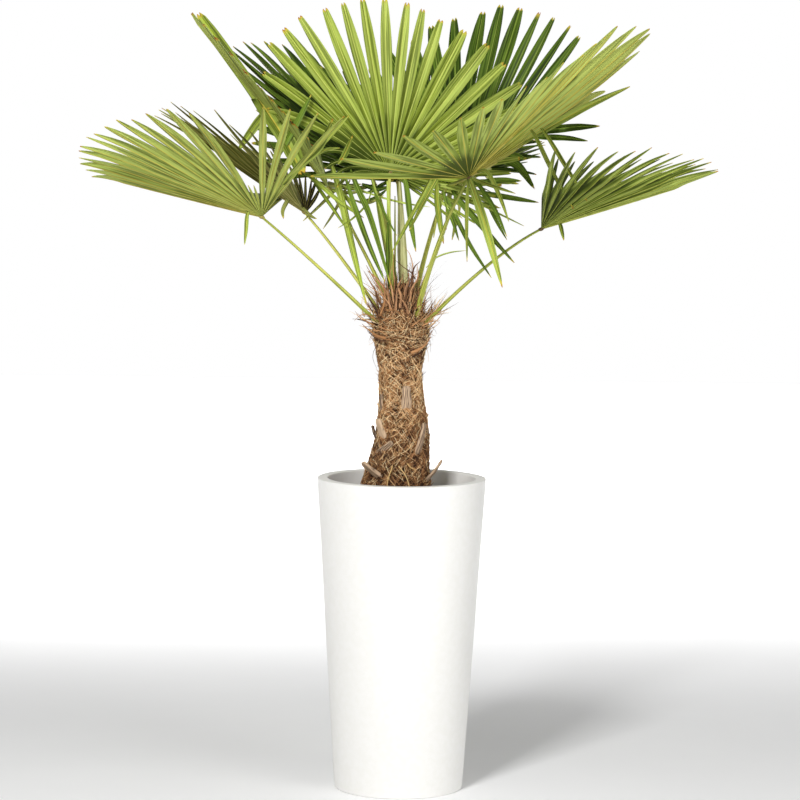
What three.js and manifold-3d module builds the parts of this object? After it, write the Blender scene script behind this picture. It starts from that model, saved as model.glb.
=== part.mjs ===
// Potted windmill palm: a fibrous trunk in a tall round planter, with a crown of pleated fan leaves.
// Millimetres, +Z up, -Y is the front. The origin is the centre of the planter's underside.
import * as THREE from 'three';
import { mergeVertices } from 'three/addons/utils/BufferGeometryUtils.js';
import Module from 'manifold-3d';

// Driving sizes
const POT_HEIGHT = 740;
const POT_RIM_RADIUS = 200;
const POT_BASE_RADIUS = 152.5;
const POT_RIM_WIDTH = 25;
const POT_FLOOR = 30;
const POT_SIDES = 32;
const POT_EDGE = 4;
const SOIL_BELOW_RIM = 60;
const TRUNK_SIDES = 12;
const PETIOLE_SIDES = 6;
const PETIOLE_STEPS = 5;
const PETIOLE_FOOT_RADIUS = 8;
const PETIOLE_END_RADIUS = 3.8;
const BLADE_THICKNESS = 2;
const BLADE_START = 4.2;
const CLEARANCE = 0.4;

const SOIL_TOP = POT_HEIGHT - SOIL_BELOW_RIM;
// Where a stalk's bend sits on the way from its foot to its hub, back from the hub
const STALK_BEND_BACK = 0.35;
// How much faster than evenly a stalk thins near its foot
const STALK_TAPER_POWER = 0.7;

// Outline of a leaf finger: where it leaves its neighbours, and its width against their spacing
const FUSED_PART = 0.36;
const BROAD_STATION = { along: 0.7, width: 0.76 };
const BENT_STATION = { along: 0.86, width: 0.5 };
const BENDING_SAG = 0.2;
const SAG_SHORTENING = 0.45;
const SAG_STARTS = 60;
const SAG_FULL = 112;
const REACH_ANGLES = [-140, -70, 0, 35, 70, 140];
const SIDE_NARROWING = { starts: 65, full: 110, part: 0.5 };

// Trunk: height of each ring, its centre and its radius, from the soil to the top of the fibre
const TRUNK_RINGS = [
  { z: SOIL_TOP, x: -11, radius: 82 },
  { z: 727, x: -11, radius: 77 },
  { z: 780, x: -7, radius: 68 },
  { z: 829, x: -3, radius: 61 },
  { z: 924, x: -3, radius: 50 },
  { z: 995, x: -4, radius: 46 },
  { z: 1054, x: -4, radius: 57 },
  { z: 1082, x: -5, radius: 63 },
  { z: 1105, x: -6, radius: 59 },
  { z: 1130, x: -7, radius: 49 },
  { z: 1160, x: -4, radius: 38 },
  { z: 1190, x: -2, radius: 28 },
  { z: 1225, x: 2, radius: 12 },
];

// Waves round the trunk's skin: part of its radius, waves in a turn, and millimetres of height for a radian
const TRUNK_WAVES = [
  { part: 0.04, waves: 3, climb: 60 },
  { part: 0.03, waves: 5, climb: -37 },
];

// Cut leaf bases left on the trunk: their other sizes against the width of the tip, and those in front
const STUB_SHAPE = { footWidth: 1.3, footDepth: 0.8, tipDepth: 0.45 };
const FRONT_STUBS = [
  { foot: [9, -42, 905], tip: [8, -60, 962], width: 18 },
  { foot: [-34, -36, 822], tip: [-58, -53, 884], width: 17 },
  { foot: [-56, -32, 797], tip: [-24, -68, 830], width: 13 },
  { foot: [34, -42, 800], tip: [52, -51, 874], width: 13 },
  { foot: [-56, -20, 830], tip: [-70, -28, 866], width: 11 },
  { foot: [-38, -50, 738], tip: [-92, -66, 782], width: 16 },
  { foot: [56, -24, 735], tip: [94, -32, 786], width: 11 },
  { foot: [-44, -24, 880], tip: [-50, -38, 940], width: 9 },
];
// Those behind climb round the trunk, whose skin they follow
const BACK_STUBS = {
  count: 5, firstAngle: 42, angleStep: 25, firstHeight: 735, heightStep: 42, length: 52, width: 19,
  skinRadius: 72, skinTaper: 0.11, sunk: 16, proud: 10,
};

// Leaves, angles in degrees. hub: where stalk and blade meet; azimuth, elevation, roll: the blade's axis and
// facing; liftPlus, liftMinus, cup: how far the two halves rise out of the plane; pitch and first: finger
// angles; from, to: the blade's extent; broken: the angles between which its fingers are broken short, and
// the part of them that is left;
// reach: finger length at REACH_ANGLES; sag: droop of the minus half, the plus half and the whole;
// foot: where the stalk starts in the trunk's core; arch: the stalk's bend.
const LEAVES = [
  {
    name: 'centre', hub: [-36, 0, 1458], azimuth: 33, elevation: 67, roll: 74,
    liftPlus: -0.93, liftMinus: 0.35, cup: 0.25, pitch: 7.2, first: -73.9, from: -112, to: 112,
    broken: [-125, -84, 0.6], reach: [120, 440, 392, 386, 270, 190], sag: [0.3, 0.05, 0],
    foot: [-24, -20, 1150], arch: 0.1,
    color: 0x9fb84c,
  },
  {
    name: 'front_right', hub: [145, -200, 1454], azimuth: 0, elevation: 46, roll: 42,
    liftPlus: 0.41, liftMinus: -0.87, cup: 0.9, pitch: 8.3, first: 45.3, from: -124, to: 112,
    reach: [507, 425, 466, 680, 400, 340], sag: [0, 0.3, 0],
    foot: [28, -30, 1120], arch: 0.15,
    color: 0x9aab62,
  },
  {
    name: 'far_left', hub: [-331, -100, 1355], azimuth: 160, elevation: 12.5, roll: -32,
    liftPlus: -0.25, liftMinus: 0.53, cup: 0.57, pitch: 6.4, first: 5.7, from: -76, to: 122,
    broken: [86, 98, 0.3], reach: [400, 440, 453, 460, 478, 560], sag: [0.02, 0.03, 0.02],
    foot: [-46, -20, 1095], arch: 0.04,
    color: 0x93a853,
  },
  {
    name: 'far_right', hub: [318, -50, 1333], azimuth: -3, elevation: 18.5, roll: 3,
    liftPlus: 0.2, liftMinus: 0.16, cup: 0.53, pitch: 6, first: 0, from: -82, to: 80,
    reach: [420, 470, 442, 446, 452, 397], sag: [0.02, 0.02, 0.02],
    foot: [46, -10, 1104], arch: 0.2,
    color: 0x6f8a38,
  },
  {
    name: 'high_left', hub: [-179, 30, 1420], azimuth: 178, elevation: 51, roll: 0,
    liftPlus: 0.13, liftMinus: -0.06, cup: 0.1, pitch: 7.3, first: 0, from: -70, to: 75,
    reach: [300, 440, 527, 350, 300, 300], sag: [0, 0, 0],
    foot: [-28, 4, 1140], arch: 0.15,
    color: 0x7f9a4a,
  },
  {
    name: 'high_right', hub: [123, 270, 1398], azimuth: 51, elevation: 66, roll: 24,
    liftPlus: 0.51, liftMinus: -0.43, cup: 0.6, pitch: 6.7, first: 22.3, from: -40, to: 64,
    reach: [400, 476, 512, 490, 424, 400], sag: [0.25, 0, 0],
    foot: [22, 24, 1130], arch: 0.15,
    color: 0x4d6c2c,
  },
  {
    name: 'left', hub: [-239, 100, 1361], azimuth: 174, elevation: 34, roll: -6,
    liftPlus: 0.15, liftMinus: 0.11, cup: 0.31, pitch: 7.8, first: 0, from: -72, to: 72,
    reach: [350, 450, 437, 430, 400, 330], sag: [0.05, 0.05, 0.02],
    foot: [-40, 22, 1108], arch: 0.1,
    color: 0x5d6d3a,
  },
  {
    name: 'back_left', hub: [-81, 300, 1445], azimuth: 136, elevation: 42, roll: -6,
    liftPlus: 0.13, liftMinus: 0.09, cup: 0.07, pitch: 7.8, first: 33.6, from: -100, to: 100,
    reach: [400, 462, 510, 470, 300, 200], sag: [0.1, 0.1, 0.02],
    foot: [-14, 35, 1130], arch: 0.15,
    color: 0x4b6a30,
  },
  {
    name: 'back', hub: [-18, 330, 1430], azimuth: 98, elevation: 44, roll: 4,
    liftPlus: 0.2, liftMinus: 0.2, cup: 0.2, pitch: 9.2, first: 3, from: -100, to: 100,
    reach: [330, 400, 460, 455, 400, 330], sag: [0.06, 0.06, 0.05],
    foot: [4, 20, 1160], arch: 0.15,
    color: 0x4b6a30,
  },
  {
    name: 'back_right', hub: [105, 360, 1420], azimuth: 70, elevation: 20, roll: 0,
    liftPlus: 0.2, liftMinus: 0.2, cup: 0.3, pitch: 9, first: 3, from: -80, to: 100,
    reach: [160, 230, 400, 385, 370, 320], sag: [0.06, 0.06, 0.05],
    foot: [16, 34, 1120], arch: 0.15,
    color: 0x4b6a30,
  },
];
const SPEAR = {
  foot: [1, 6, 1160], tip: [-13, 14, 1438], footRadius: 8, widestRadius: 9, widestAt: 0.4, tipRadius: 2.5,
};

const UP = new THREE.Vector3(0, 0, 1);
const wasm = await Module();
wasm.setup();

// A closed BufferGeometry as a solid that can be cut and joined
function toSolid(geometry) {
  const bare = geometry.clone();
  bare.deleteAttribute('normal');
  bare.deleteAttribute('uv');
  const merged = mergeVertices(bare, 1e-4);
  return new wasm.Manifold(new wasm.Mesh({
    numProp: 3,
    vertProperties: new Float32Array(merged.attributes.position.array),
    triVerts: new Uint32Array(merged.index.array),
  }));
}

// A solid as a BufferGeometry again
function toGeometry(solid) {
  const mesh = solid.getMesh();
  const geometry = new THREE.BufferGeometry();
  geometry.setAttribute('position', new THREE.BufferAttribute(mesh.vertProperties, 3));
  geometry.setIndex(new THREE.BufferAttribute(mesh.triVerts, 1));
  geometry.computeVertexNormals();
  return geometry;
}

// Points and triangles as a solid whose faces point out
function solidFrom(points, triangles) {
  const geometry = new THREE.BufferGeometry().setFromPoints(points);
  geometry.setIndex(triangles.flat());
  const solid = toSolid(geometry);
  if (solid.volume() > 0) return solid;
  geometry.setIndex(triangles.map(([a, b, c]) => [a, c, b]).flat());
  return toSolid(geometry);
}

// The largest body of a solid that a cut may have left in several
function largestBody(solid) {
  return solid.decompose().reduce((best, body) => (body.volume() > best.volume() ? body : best));
}

// A loft through rings of equally many points, closed by a flat cap at both ends
function loft(rings) {
  const sides = rings[0].length;
  const points = rings.flat();
  const triangles = [];
  for (let i = 0; i < rings.length - 1; i++) {
    for (let j = 0; j < sides; j++) {
      const next = (j + 1) % sides;
      const [a, b, c, d] = [i * sides + j, i * sides + next, (i + 1) * sides + next, (i + 1) * sides + j];
      triangles.push([a, b, c], [a, c, d]);
    }
  }
  const last = (rings.length - 1) * sides;
  for (let j = 1; j < sides - 1; j++) {
    triangles.push([0, j + 1, j], [last, last + j, last + j + 1]);
  }
  return solidFrom(points, triangles);
}

// A round limb along a curve, its radius a function of the distance along it
function limb(curve, radiusAt, sides, steps) {
  const frames = curve.computeFrenetFrames(steps, false);
  const rings = [];
  for (let i = 0; i <= steps; i++) {
    const centre = curve.getPointAt(i / steps);
    const radius = radiusAt(i / steps);
    rings.push(Array.from({ length: sides }, (_, j) => {
      const turn = (2 * Math.PI * j) / sides;
      return centre.clone()
        .addScaledVector(frames.normals[i], radius * Math.cos(turn))
        .addScaledVector(frames.binormals[i], radius * Math.sin(turn));
    }));
  }
  return loft(rings);
}

// A solid of revolution about the vertical axis
function turned(profile) {
  const geometry = new THREE.LatheGeometry(profile.map(([r, z]) => new THREE.Vector2(r, z)), POT_SIDES);
  geometry.rotateX(Math.PI / 2);
  const solid = toSolid(geometry);
  if (solid.volume() > 0) return solid;
  geometry.index.array.reverse();
  return toSolid(geometry);
}

function potOuterRadius(z) {
  return THREE.MathUtils.mapLinear(z, 0, POT_HEIGHT, POT_BASE_RADIUS, POT_RIM_RADIUS);
}

function potInnerRadius(z) {
  return potOuterRadius(z) - POT_RIM_WIDTH;
}

function pot() {
  const top = POT_HEIGHT;
  return turned([
    [0, 0],
    [POT_BASE_RADIUS - POT_EDGE, 0],
    [potOuterRadius(POT_EDGE), POT_EDGE],
    [potOuterRadius(top - POT_EDGE), top - POT_EDGE],
    [POT_RIM_RADIUS - POT_EDGE, top],
    [potInnerRadius(top) + POT_EDGE, top],
    [potInnerRadius(top - POT_EDGE), top - POT_EDGE],
    [potInnerRadius(POT_FLOOR), POT_FLOOR],
    [0, POT_FLOOR],
  ]);
}

function soil() {
  return turned([
    [0, POT_FLOOR],
    [potInnerRadius(POT_FLOOR) - CLEARANCE, POT_FLOOR],
    [potInnerRadius(SOIL_TOP) - CLEARANCE, SOIL_TOP],
    [0, SOIL_TOP],
  ]);
}

// The trunk's core, uneven all round; grow makes the larger copy that leaf stalks are cut against
function trunkCore(grow) {
  return loft(TRUNK_RINGS.map(({ z, x, radius }) => Array.from({ length: TRUNK_SIDES }, (_, j) => {
    const turn = (2 * Math.PI * j) / TRUNK_SIDES;
    const uneven = TRUNK_WAVES.map(({ part, waves, climb }) => part * Math.sin(waves * turn + z / climb));
    const r = radius * (1 + uneven[0] + uneven[1]) + grow;
    const lift = grow > 0 && z > TRUNK_RINGS.at(-2).z ? grow : 0;
    return new THREE.Vector3(x + r * Math.cos(turn), r * Math.sin(turn), z + lift);
  })));
}

// One cut leaf base: a flattened, tapering block from inside the trunk to its square-cut tip
function stub({ foot, tip, width }) {
  const from = new THREE.Vector3(...foot);
  const to = new THREE.Vector3(...tip);
  const along = to.clone().sub(from).normalize();
  const outward = new THREE.Vector3(to.x, to.y, 0).normalize();
  const across = new THREE.Vector3().crossVectors(along, outward).normalize();
  const depth = new THREE.Vector3().crossVectors(across, along).normalize();
  const section = (centre, w, d) => [[1, 1], [-1, 1], [-1, -1], [1, -1]].map(([i, j]) => centre.clone()
    .addScaledVector(across, (i * w) / 2)
    .addScaledVector(depth, (j * d) / 2));
  const { footWidth, footDepth, tipDepth } = STUB_SHAPE;
  return loft([section(from, width * footWidth, width * footDepth), section(to, width, width * tipDepth)]);
}

function backStubs() {
  const { count, firstAngle, angleStep, firstHeight, heightStep, length, width } = BACK_STUBS;
  const { skinRadius, skinTaper, sunk, proud } = BACK_STUBS;
  return Array.from({ length: count }, (_, i) => {
    const turn = THREE.MathUtils.degToRad(firstAngle + ((i * 2) % count) * angleStep);
    const z = firstHeight + i * heightStep;
    const at = (radius, height) => [radius * Math.cos(turn), radius * Math.sin(turn), height];
    const skin = skinRadius - skinTaper * (z - firstHeight);
    return stub({ foot: at(skin - sunk, z), tip: at(skin + proud, z + length), width });
  });
}

function trunk() {
  const stubs = [...FRONT_STUBS.map(stub), ...backStubs()];
  return stubs.reduce((whole, piece) => whole.add(piece), trunkCore(0));
}

// Axis, side and facing of a leaf's plane
function leafPlane({ azimuth, elevation, roll }) {
  const [az, el, turn] = [azimuth, elevation, roll].map(THREE.MathUtils.degToRad);
  const axis = new THREE.Vector3(Math.cos(az) * Math.cos(el), Math.sin(az) * Math.cos(el), Math.sin(el));
  const level = UP.clone().addScaledVector(axis, -axis.z).normalize();
  const facing = level.clone().multiplyScalar(Math.cos(turn))
    .addScaledVector(new THREE.Vector3().crossVectors(level, axis), Math.sin(turn));
  return { axis, facing, side: new THREE.Vector3().crossVectors(facing, axis) };
}

// Unit direction of the leaf's ray at an angle from its axis, lifted out of the plane towards the sides
function leafRay(leaf, degrees) {
  const { axis, facing, side } = leaf.plane;
  const t = THREE.MathUtils.degToRad(degrees);
  const lift = (degrees > 0 ? leaf.liftPlus : leaf.liftMinus) * Math.abs(Math.sin(t))
    + leaf.cup * Math.sin(t / 2) ** 2;
  return new THREE.Vector3()
    .addScaledVector(axis, Math.cos(t))
    .addScaledVector(side, Math.sin(t))
    .addScaledVector(facing, lift)
    .normalize();
}

function leafAcross(leaf, degrees) {
  const step = 0.5;
  return leafRay(leaf, degrees + step).sub(leafRay(leaf, degrees - step)).normalize();
}

function reachAt(leaf, degrees) {
  const above = REACH_ANGLES.findIndex((angle) => angle > degrees);
  const i = THREE.MathUtils.clamp(above - 1, 0, REACH_ANGLES.length - 2);
  const [a, b] = [REACH_ANGLES[i], REACH_ANGLES[i + 1]];
  const whole = THREE.MathUtils.mapLinear(degrees, a, b, leaf.reach[i], leaf.reach[i + 1]);
  const [low, high, part] = leaf.broken ?? [0, 0, 1];
  return degrees > low && degrees < high ? whole * part : whole;
}

function sagAt(leaf, degrees) {
  const [minus, plus, all] = leaf.sag;
  const outwards = THREE.MathUtils.smoothstep(Math.abs(degrees), SAG_STARTS, SAG_FULL);
  return all + (degrees > 0 ? plus : minus) * outwards;
}

// Distance between neighbouring fingers for each unit of their length, less towards the leaf's sides
function fingerSpacing(leaf, degrees) {
  const nextEdge = leafRay(leaf, degrees + leaf.pitch / 2);
  const spread = nextEdge.distanceTo(leafRay(leaf, degrees - leaf.pitch / 2));
  const { starts, full, part } = SIDE_NARROWING;
  return spread * (1 - part * THREE.MathUtils.smoothstep(Math.abs(degrees), starts, full));
}

// Point on a finger's midline, straight while fused and then bending down
function fingerPoint(leaf, degrees, along) {
  const reach = reachAt(leaf, degrees);
  const bend = sagAt(leaf, degrees) * reach * Math.max(0, (along - FUSED_PART) / (1 - FUSED_PART)) ** 2;
  return new THREE.Vector3(...leaf.hub)
    .addScaledVector(leafRay(leaf, degrees), reach * along - SAG_SHORTENING * bend)
    .addScaledVector(UP, -bend);
}

// Directions along, across and out of a finger at a point of it
function fingerFrame(leaf, degrees, along) {
  const step = 0.02;
  const ahead = fingerPoint(leaf, degrees, along + step);
  const tangent = ahead.sub(fingerPoint(leaf, degrees, along - step)).normalize();
  const across = leafAcross(leaf, degrees);
  across.addScaledVector(tangent, -across.dot(tangent)).normalize();
  return { tangent, across, normal: new THREE.Vector3().crossVectors(tangent, across) };
}

// A thin plate built from columns, each a top and a bottom point, and its faces between them
class Plate {
  constructor(thickness) {
    this.half = thickness / 2;
    this.points = [];
    this.faces = [];
  }

  column(point, normal) {
    this.points.push(point.clone().addScaledVector(normal, this.half));
    this.points.push(point.clone().addScaledVector(normal, -this.half));
    return this.points.length / 2 - 1;
  }

  face(a, b, c) {
    this.faces.push([a, b, c]);
  }

  solid() {
    const edges = new Set(this.faces.flatMap(([a, b, c]) => [`${a} ${b}`, `${b} ${c}`, `${c} ${a}`]));
    const triangles = [];
    for (const [a, b, c] of this.faces) {
      triangles.push([2 * a, 2 * b, 2 * c], [2 * a + 1, 2 * c + 1, 2 * b + 1]);
      for (const [p, q] of [[a, b], [b, c], [c, a]]) {
        if (edges.has(`${q} ${p}`)) continue;
        triangles.push([2 * p, 2 * p + 1, 2 * q + 1], [2 * p, 2 * q + 1, 2 * q]);
      }
    }
    return solidFrom(this.points, triangles);
  }
}

// The finger angles of one half of a leaf, minus or plus
function fingerAngles(leaf, half) {
  const angles = [];
  const start = leaf.first + Math.ceil((leaf.from - leaf.first) / leaf.pitch) * leaf.pitch;
  for (let angle = start; angle <= leaf.to; angle += leaf.pitch) {
    if (half === 'minus' ? angle < 0 : angle >= 0) angles.push(angle);
  }
  return angles;
}

// One half of a leaf: fingers fused in a fan near the hub and free beyond, as one thin plate
function halfBlade(leaf, half, grow) {
  const plate = new Plate(BLADE_THICKNESS + 2 * grow);
  const hub = new THREE.Vector3(...leaf.hub);
  const angles = fingerAngles(leaf, half);
  const rim = [angles[0] - leaf.pitch / 2, ...angles.map((angle) => angle + leaf.pitch / 2)];
  const seam = half === 'minus' ? rim.length - 1 : 0;
  const outward = half === 'minus' ? 1 : -1;
  const fused = rim.map((degrees, i) => {
    const ray = leafRay(leaf, degrees);
    const across = leafAcross(leaf, degrees);
    const normal = new THREE.Vector3().crossVectors(ray, across).normalize();
    const shift = i === seam ? outward * (grow - CLEARANCE / 2) : 0;
    return [BLADE_START - grow, FUSED_PART * reachAt(leaf, degrees)].map((distance) => plate.column(
      hub.clone().addScaledVector(ray, distance).addScaledVector(across, shift), normal));
  });
  angles.forEach((degrees, i) => {
    const [[innerA, outerA], [innerB, outerB]] = [fused[i], fused[i + 1]];
    plate.face(innerA, outerA, outerB);
    plate.face(innerA, outerB, innerB);
    const spacing = fingerSpacing(leaf, degrees);
    const stations = sagAt(leaf, degrees) > BENDING_SAG ? [BROAD_STATION, BENT_STATION] : [BROAD_STATION];
    let [left, right] = [outerA, outerB];
    for (const { along, width } of stations) {
      const centre = fingerPoint(leaf, degrees, along);
      const { across, normal } = fingerFrame(leaf, degrees, along);
      const w = (reachAt(leaf, degrees) * along * spacing * width) / 2 + grow;
      const nextLeft = plate.column(centre.clone().addScaledVector(across, -w), normal);
      const nextRight = plate.column(centre.clone().addScaledVector(across, w), normal);
      plate.face(left, nextLeft, nextRight);
      plate.face(left, nextRight, right);
      [left, right] = [nextLeft, nextRight];
    }
    const end = fingerFrame(leaf, degrees, 1);
    const tip = fingerPoint(leaf, degrees, 1).addScaledVector(end.tangent, 2 * grow);
    plate.face(left, plate.column(tip, end.normal), right);
  });
  return plate.solid();
}

// A leaf's stalk, from inside the trunk to just short of its hub
function stalk(leaf, grow) {
  const foot = new THREE.Vector3(...leaf.foot);
  const hub = new THREE.Vector3(...leaf.hub);
  const reach = hub.distanceTo(foot);
  const middle = hub.clone()
    .addScaledVector(leaf.plane.axis, -leaf.arch * reach)
    .addScaledVector(hub.clone().sub(foot), leaf.arch - STALK_BEND_BACK);
  const end = hub.clone().addScaledVector(leaf.plane.axis, grow - CLEARANCE);
  const curve = new THREE.QuadraticBezierCurve3(foot, middle, end);
  const thin = (t) => THREE.MathUtils.lerp(PETIOLE_FOOT_RADIUS, PETIOLE_END_RADIUS, t ** STALK_TAPER_POWER);
  const radiusAt = (t) => thin(t) + grow;
  return limb(curve, radiusAt, PETIOLE_SIDES, PETIOLE_STEPS);
}

// The folded youngest leaf, standing in the middle of the crown
function spear(grow) {
  const { foot, tip, footRadius, widestRadius, widestAt, tipRadius } = SPEAR;
  const curve = new THREE.LineCurve3(new THREE.Vector3(...foot), new THREE.Vector3(...tip));
  const radiusAt = (t) => (t < widestAt
    ? THREE.MathUtils.mapLinear(t, 0, widestAt, footRadius, widestRadius)
    : THREE.MathUtils.mapLinear(t, widestAt, 1, widestRadius, tipRadius)) + grow;
  return limb(curve, radiusAt, PETIOLE_SIDES, PETIOLE_STEPS);
}

const palm = new THREE.Group();

function addPart(name, solid, color, roughness) {
  const material = new THREE.MeshStandardMaterial({ color, roughness, metalness: 0 });
  const mesh = new THREE.Mesh(toGeometry(solid), material);
  mesh.name = name;
  palm.add(mesh);
}

addPart('pot', pot(), 0xf2f1ec, 0.55);
addPart('soil', soil(), 0x4a3a2c, 0.95);
addPart('trunk', trunk(), 0x8a6a48, 0.95);

// Stalks and spear leave the trunk's skin, each clear of the ones placed before it
const trunkSkin = trunkCore(CLEARANCE);
const placedStalks = [];
function placeStalk(name, make, color) {
  const cut = [trunkSkin, ...placedStalks].reduce((rest, other) => rest.subtract(other), make(0));
  addPart(name, largestBody(cut), color, 0.45);
  placedStalks.push(make(CLEARANCE));
}
placeStalk('spear', spear, 0xa8b080);
for (const leaf of LEAVES) {
  leaf.plane = leafPlane(leaf);
  placeStalk(`stalk_${leaf.name}`, (grow) => stalk(leaf, grow), 0xa9b23e);
}

// Blades, each half cut where it would pass through a stalk or through a blade placed before it
const placedBlades = [];
for (const leaf of LEAVES) {
  for (const half of ['minus', 'plus']) {
    const others = [...placedStalks, ...placedBlades];
    const cut = others.reduce((rest, other) => rest.subtract(other), halfBlade(leaf, half, 0));
    addPart(`blade_${leaf.name}_${half}`, largestBody(cut), leaf.color, 0.5);
    placedBlades.push(halfBlade(leaf, half, CLEARANCE));
  }
}

export default palm;
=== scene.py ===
"""Potted windmill palm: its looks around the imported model. Metres, +Z up, -Y is the front.

Sizes are in millimetres, which the shape functions turn to metres. The places of the camera, the floor and
the lamps are in metres.
"""

import math

import bpy
import numpy as np
from mathutils import Matrix


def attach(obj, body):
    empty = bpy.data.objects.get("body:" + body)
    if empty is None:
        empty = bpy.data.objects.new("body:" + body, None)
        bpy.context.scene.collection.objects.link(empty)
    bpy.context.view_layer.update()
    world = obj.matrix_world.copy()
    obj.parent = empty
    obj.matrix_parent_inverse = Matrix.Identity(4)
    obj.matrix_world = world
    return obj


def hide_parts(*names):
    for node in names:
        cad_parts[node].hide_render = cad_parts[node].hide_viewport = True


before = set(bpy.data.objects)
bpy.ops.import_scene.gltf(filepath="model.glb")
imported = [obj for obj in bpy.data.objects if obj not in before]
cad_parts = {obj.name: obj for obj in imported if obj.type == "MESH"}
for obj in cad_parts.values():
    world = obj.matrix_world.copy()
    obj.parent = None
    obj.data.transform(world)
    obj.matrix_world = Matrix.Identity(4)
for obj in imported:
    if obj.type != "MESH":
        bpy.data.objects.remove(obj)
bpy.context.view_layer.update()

MM = 0.001
SEED = 11
UP = np.array([0, 0, 1.0])

# Camera: the photo's viewing angle, in metres and degrees, and the square view's width in pixels
CAMERA_PLACE = (-0.0062, -7.2, 1.5763)
CAMERA_PITCH = 5.1773
CAMERA_ROLL = 0.6659
CAMERA_LENS = 137.82
SENSOR_WIDTH = 36
VIEW_PIXELS = 800

# Planter and soil: the rim and the foot are measured outside, the floor and the soil from the ground
POT_HEIGHT = 740
POT_RIM_RADIUS = 200
POT_BASE_RADIUS = 152.5
POT_RIM_WIDTH = 25
POT_FLOOR = 30
POT_EDGE = 3
SOIL_TOP = 680
SOIL_GAP = 0.6

# Trunk: height of each ring, its centre and its radius, from the soil to the top of the fibre
TRUNK_RINGS = np.array([
    (680, -11, 82), (727, -11, 77), (780, -7, 68), (829, -3, 61), (924, -3, 50), (995, -4, 46),
    (1054, -4, 57), (1082, -5, 63), (1105, -6, 59), (1130, -7, 49), (1160, -4, 37), (1182, -3, 26),
    (1200, -1, 10),
], float)

# Cut leaf bases: foot, tip, width at the tip, and how light the wood is
STUBS = [
    ((9, -42, 905), (8, -60, 962), 18, 0.6),
    ((-34, -36, 822), (-58, -53, 884), 17, 0.9),
    ((-56, -32, 797), (-24, -68, 830), 13, 0.5),
    ((34, -42, 800), (52, -51, 874), 13, 0.5),
    ((-56, -20, 830), (-70, -28, 866), 11, 0.2),
    ((-38, -50, 738), (-92, -66, 782), 16, 0.7),
    ((56, -24, 735), (94, -32, 786), 11, 0.6),
    ((-44, -24, 880), (-50, -38, 940), 9, 0.4),
]
BACK_STUBS = dict(count=5, first_angle=42, angle_step=25, first_height=735, height_step=42, length=52,
                  width=16, skin_radius=72, skin_taper=0.11, sunk=16, proud=10)

# Fingers of a fan: the power by which one narrows once it is free, where its first point lies on it, how much
# a sagging one draws back, its thickness, and the deepest split of its tip
FREE_POWER = 2.2
FINGER_START = 6 / 450
SAG_SHORTENING = 0.45
BLADE_THICKNESS = 0.9
NOTCH_LIMIT = 8

# Angles from a fan's axis, in degrees: those at which a leaf's sides and finger lengths are stated, and those
# between which sag, narrowing and shade set in
SIDE_ANGLES = (-90, -45, 0, 45, 90)
REACH_ANGLES = (-140, -70, 0, 35, 70, 140)
SAG_STARTS, SAG_FULL = 60, 112
NARROW_STARTS, NARROW_FULL = 65, 110
SHADE_STARTS, SHADE_FULL = 68, 84

# Facts of a leaf:
# hub, with turn, the azimuth, elevation and roll of its fan's plane; upper, 1 where the upper side looks the
# way the plane does, else -1
# lift, how far the plus half, the minus half and the middle rise out of that plane
# pitch, first and span, the angle between fingers, the angle of one of them, and the fan's outermost angles
# reach, the length of a finger at REACH_ANGLES; broken, two angles and the part left of the fingers between
# fused and ripe, the joined part of a finger and how yellow it is, at SIDE_ANGLES
# sag, the droop of the minus half, of the plus half and of the whole
# narrow and shade, how much narrower the outer fingers are and how much painted shade darkens them, minus
# and plus
# pleat, the depth of the pleats; blunt, the width left at a tip; slim, how much slimmer the free fingers are
# tone, the lightness and its spread; band, how much lighter the middle is; dim, how much painted shade
# darkens the fingers near the hub
# foot and arch, where the stalk starts and how far it arches; look, the set of materials
USUAL_LEAF = dict(upper=1, first=0, broken=(0, 0, 1), fused=(0.4, 0.4, 0.4, 0.4, 0.4), ripe=(0, 0, 0, 0, 0),
                  sag=(0, 0, 0), narrow=(0.5, 0.5), shade=(0, 0), pleat=1, blunt=0.08, slim=0, band=0, dim=0,
                  arch=0.15, look="dark")
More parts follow.
